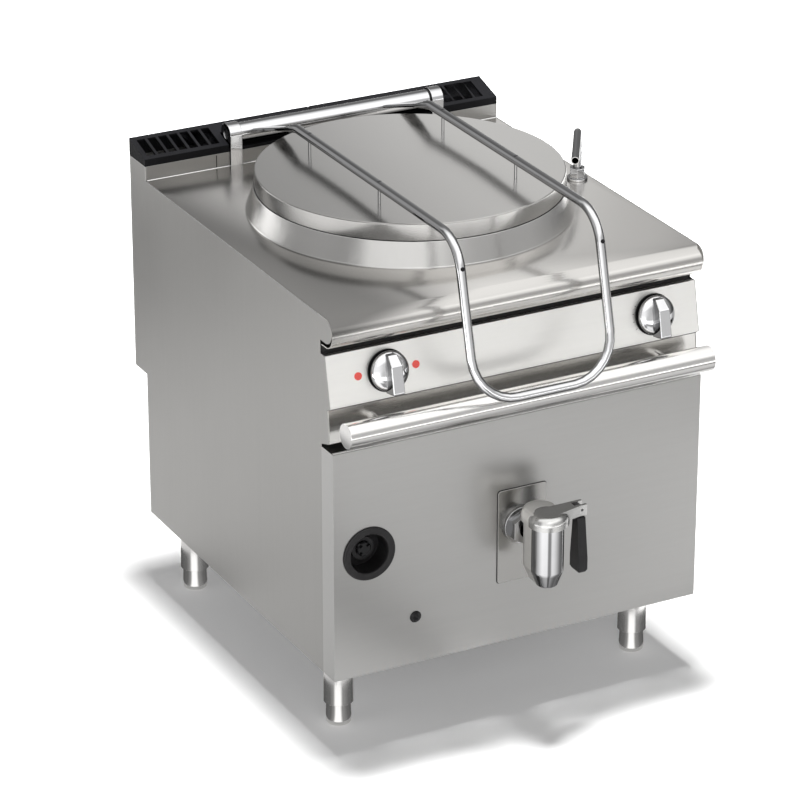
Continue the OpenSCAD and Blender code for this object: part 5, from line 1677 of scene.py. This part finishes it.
    def make_camera(self) -> None:
        """Places the camera where the photograph was taken from."""
        data = bpy.data.cameras.new("photo_camera")
        data.lens = self.lens_mm
        data.sensor_width = 36.0
        data.clip_end = 200.0
        camera = bpy.data.objects.new("photo_camera", data)
        bpy.context.scene.collection.objects.link(camera)
        turn = Matrix((self.camera_right, self.camera_up, self.camera_back)).transposed().to_4x4()
        camera.matrix_world = Matrix.Translation(self.camera_place) @ turn
        bpy.context.scene.camera = camera

    def white_to_the_eye(self, tree: Tree) -> Socket:
        """Adds up the rays that see the white background.

        Args:
            tree: Node tree of the world or the floor.

        Returns:
            A value that is 1 for camera, glossy and transmission rays.
        """
        ray = put(tree, "ShaderNodeLightPath").outputs
        seen = calculate(tree, "ADD", ray["Is Camera Ray"], ray["Is Glossy Ray"])
        terms = {0: seen, 1: ray["Is Transmission Ray"]}
        return put(tree, "ShaderNodeMath", terms, operation="ADD", use_clamp=True).outputs[0]

    def make_world(self) -> None:
        """Makes a plain world that is white to the eye."""
        world = bpy.data.worlds.new("studio_world")
        bpy.context.scene.world = world
        world.use_nodes = True
        tree = world.node_tree
        ground = tree.nodes["Background"]
        ground.inputs["Color"].default_value = (1.0, 1.0, 1.0, 1.0)
        limits = {"Value": self.white_to_the_eye(tree), "To Min": self.world_level, "To Max": 1.0}
        level = put(tree, "ShaderNodeMapRange", limits)
        feed(tree, ground, {"Strength": level.outputs["Result"]})

    def make_floor(self) -> None:
        """Makes the pale floor that carries the shadow."""
        bm = bmesh.new()
        bmesh.ops.create_grid(bm, x_segments=2, y_segments=2, size=self.floor_half)
        floor = from_bmesh("floor", bm)
        material = bpy.data.materials.new("floor_paint")
        material.use_nodes = True
        tree = material.node_tree
        shader = tree.nodes["Principled BSDF"]
        place = put(tree, "ShaderNodeTexCoord").outputs["Object"]
        reach = put(tree, "ShaderNodeVectorMath", {0: place}, operation="LENGTH").outputs["Value"]
        start, end = self.glow_reach
        low = self.floor_glow
        limits = {"Value": reach, "From Min": start, "From Max": end, "To Min": low, "To Max": 1.0}
        glow = put(tree, "ShaderNodeMapRange", limits, interpolation_type="SMOOTHSTEP").outputs["Result"]
        paint = {
            "Base Color": (self.floor_tone, self.floor_tone, self.floor_tone, 1.0),
            "Roughness": 1.0,
            "Specular IOR Level": 0.0,
            "Emission Color": (1.0, 1.0, 1.0, 1.0),
            "Emission Strength": calculate(tree, "MULTIPLY", self.white_to_the_eye(tree), glow),
        }
        feed(tree, shader, paint)
        floor.data.materials.append(material)

    def make_reflectors(self) -> None:
        """Makes the dome, the floor cards and the fans round the feet that polished metal mirrors."""
        glow = glow_material()
        turns = spread(-180.0, 180.0, 120)
        dome = [[self.dome_point(rise, turn) for turn in turns] for rise in self.dome_rises]
        reflector("reflection_dome", dome, glow)
        turns = spread(-180.0, 0.0, 90)
        fan = [[self.fan_point(radius, turn) for turn in turns] for radius in self.fan_radii]
        reflector("floor_fan", fan, glow)
        low, _, high = self.card_z
        left = []
        for y in self.left_rows:
            left.append([((x, y, low), between(self.left_stops, y)) for x in self.left_columns])
        reflector("left_floor_card", left, glow)
        turns = spread(-250.0, 10.0, 52)
        for number, spot in enumerate(self.foot_spots):
            rows = []
            for radius in self.foot_radii:
                levels = [between(self.foot_stops, turn) for turn in turns]
                rows.append([(round_about(spot, radius, t, high), lv) for t, lv in zip(turns, levels)])
            reflector(f"foot_fan_{number}", rows, glow)

    def dome_point(self, rise: float, turn: float) -> Glow:
        """Finds one point of the dome with its brightness.

        Args:
            rise: Angle over the floor in degrees.
            turn: Turn in degrees.

        Returns:
            The point and its level.
        """
        low, high = between(self.horizon_stops, turn), between(self.wall_stops, turn)
        level = low + (high - low) * between(self.wall_reach, rise)
        level += (between(self.crown_stops, rise) - level) * between(self.crown_reach, rise)
        level += self.band_level * between(self.band_turns, turn) * between(self.band_rises, rise)
        flat = self.dome_radius * math.cos(math.radians(rise))
        height = self.dome_radius * math.sin(math.radians(rise))
        return round_about((0.0, 0.0), flat, turn, height), level

    def fan_point(self, radius: float, turn: float) -> Glow:
        """Finds one point of the fan before the tap with its brightness.

        Args:
            radius: Distance from the fan's centre.
            turn: Turn in degrees.

        Returns:
            The point and its level.
        """
        level = between(self.fan_stops, turn) * between(self.fan_reach, radius)
        level += (between(self.apron_stops, turn) - level) * between(self.apron_reach, radius)
        return round_about((0.0, self.fan_y), radius, turn, self.card_z[1]), level

    def make_lamps(self) -> None:
        """Places the soft lamps."""
        for name, place, size, power in self.lamps:
            data = bpy.data.lights.new(name, "AREA")
            data.shape = "SQUARE"
            data.size = size
            data.energy = power
            lamp = bpy.data.objects.new(name, data)
            lamp.visible_glossy = False
            bpy.context.scene.collection.objects.link(lamp)
            aim = Vector(self.lamp_aim) - Vector(place)
            turn = aim.to_track_quat("-Z", "Y").to_matrix().to_4x4()
            lamp.matrix_world = Matrix.Translation(place) @ turn


def main() -> None:
    """Builds the sub-assemblies in order."""
    logging.basicConfig(level=logging.INFO, format="%(name)s: %(message)s")
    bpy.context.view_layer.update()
    finishes = Finishes()
    for assembly in (Cabinet, Flue, PanAndFire, Lid, Spout, Controls, Tap):
        assembly(finishes).build()
    Studio().build()


if __name__ == "__main__":
    main()
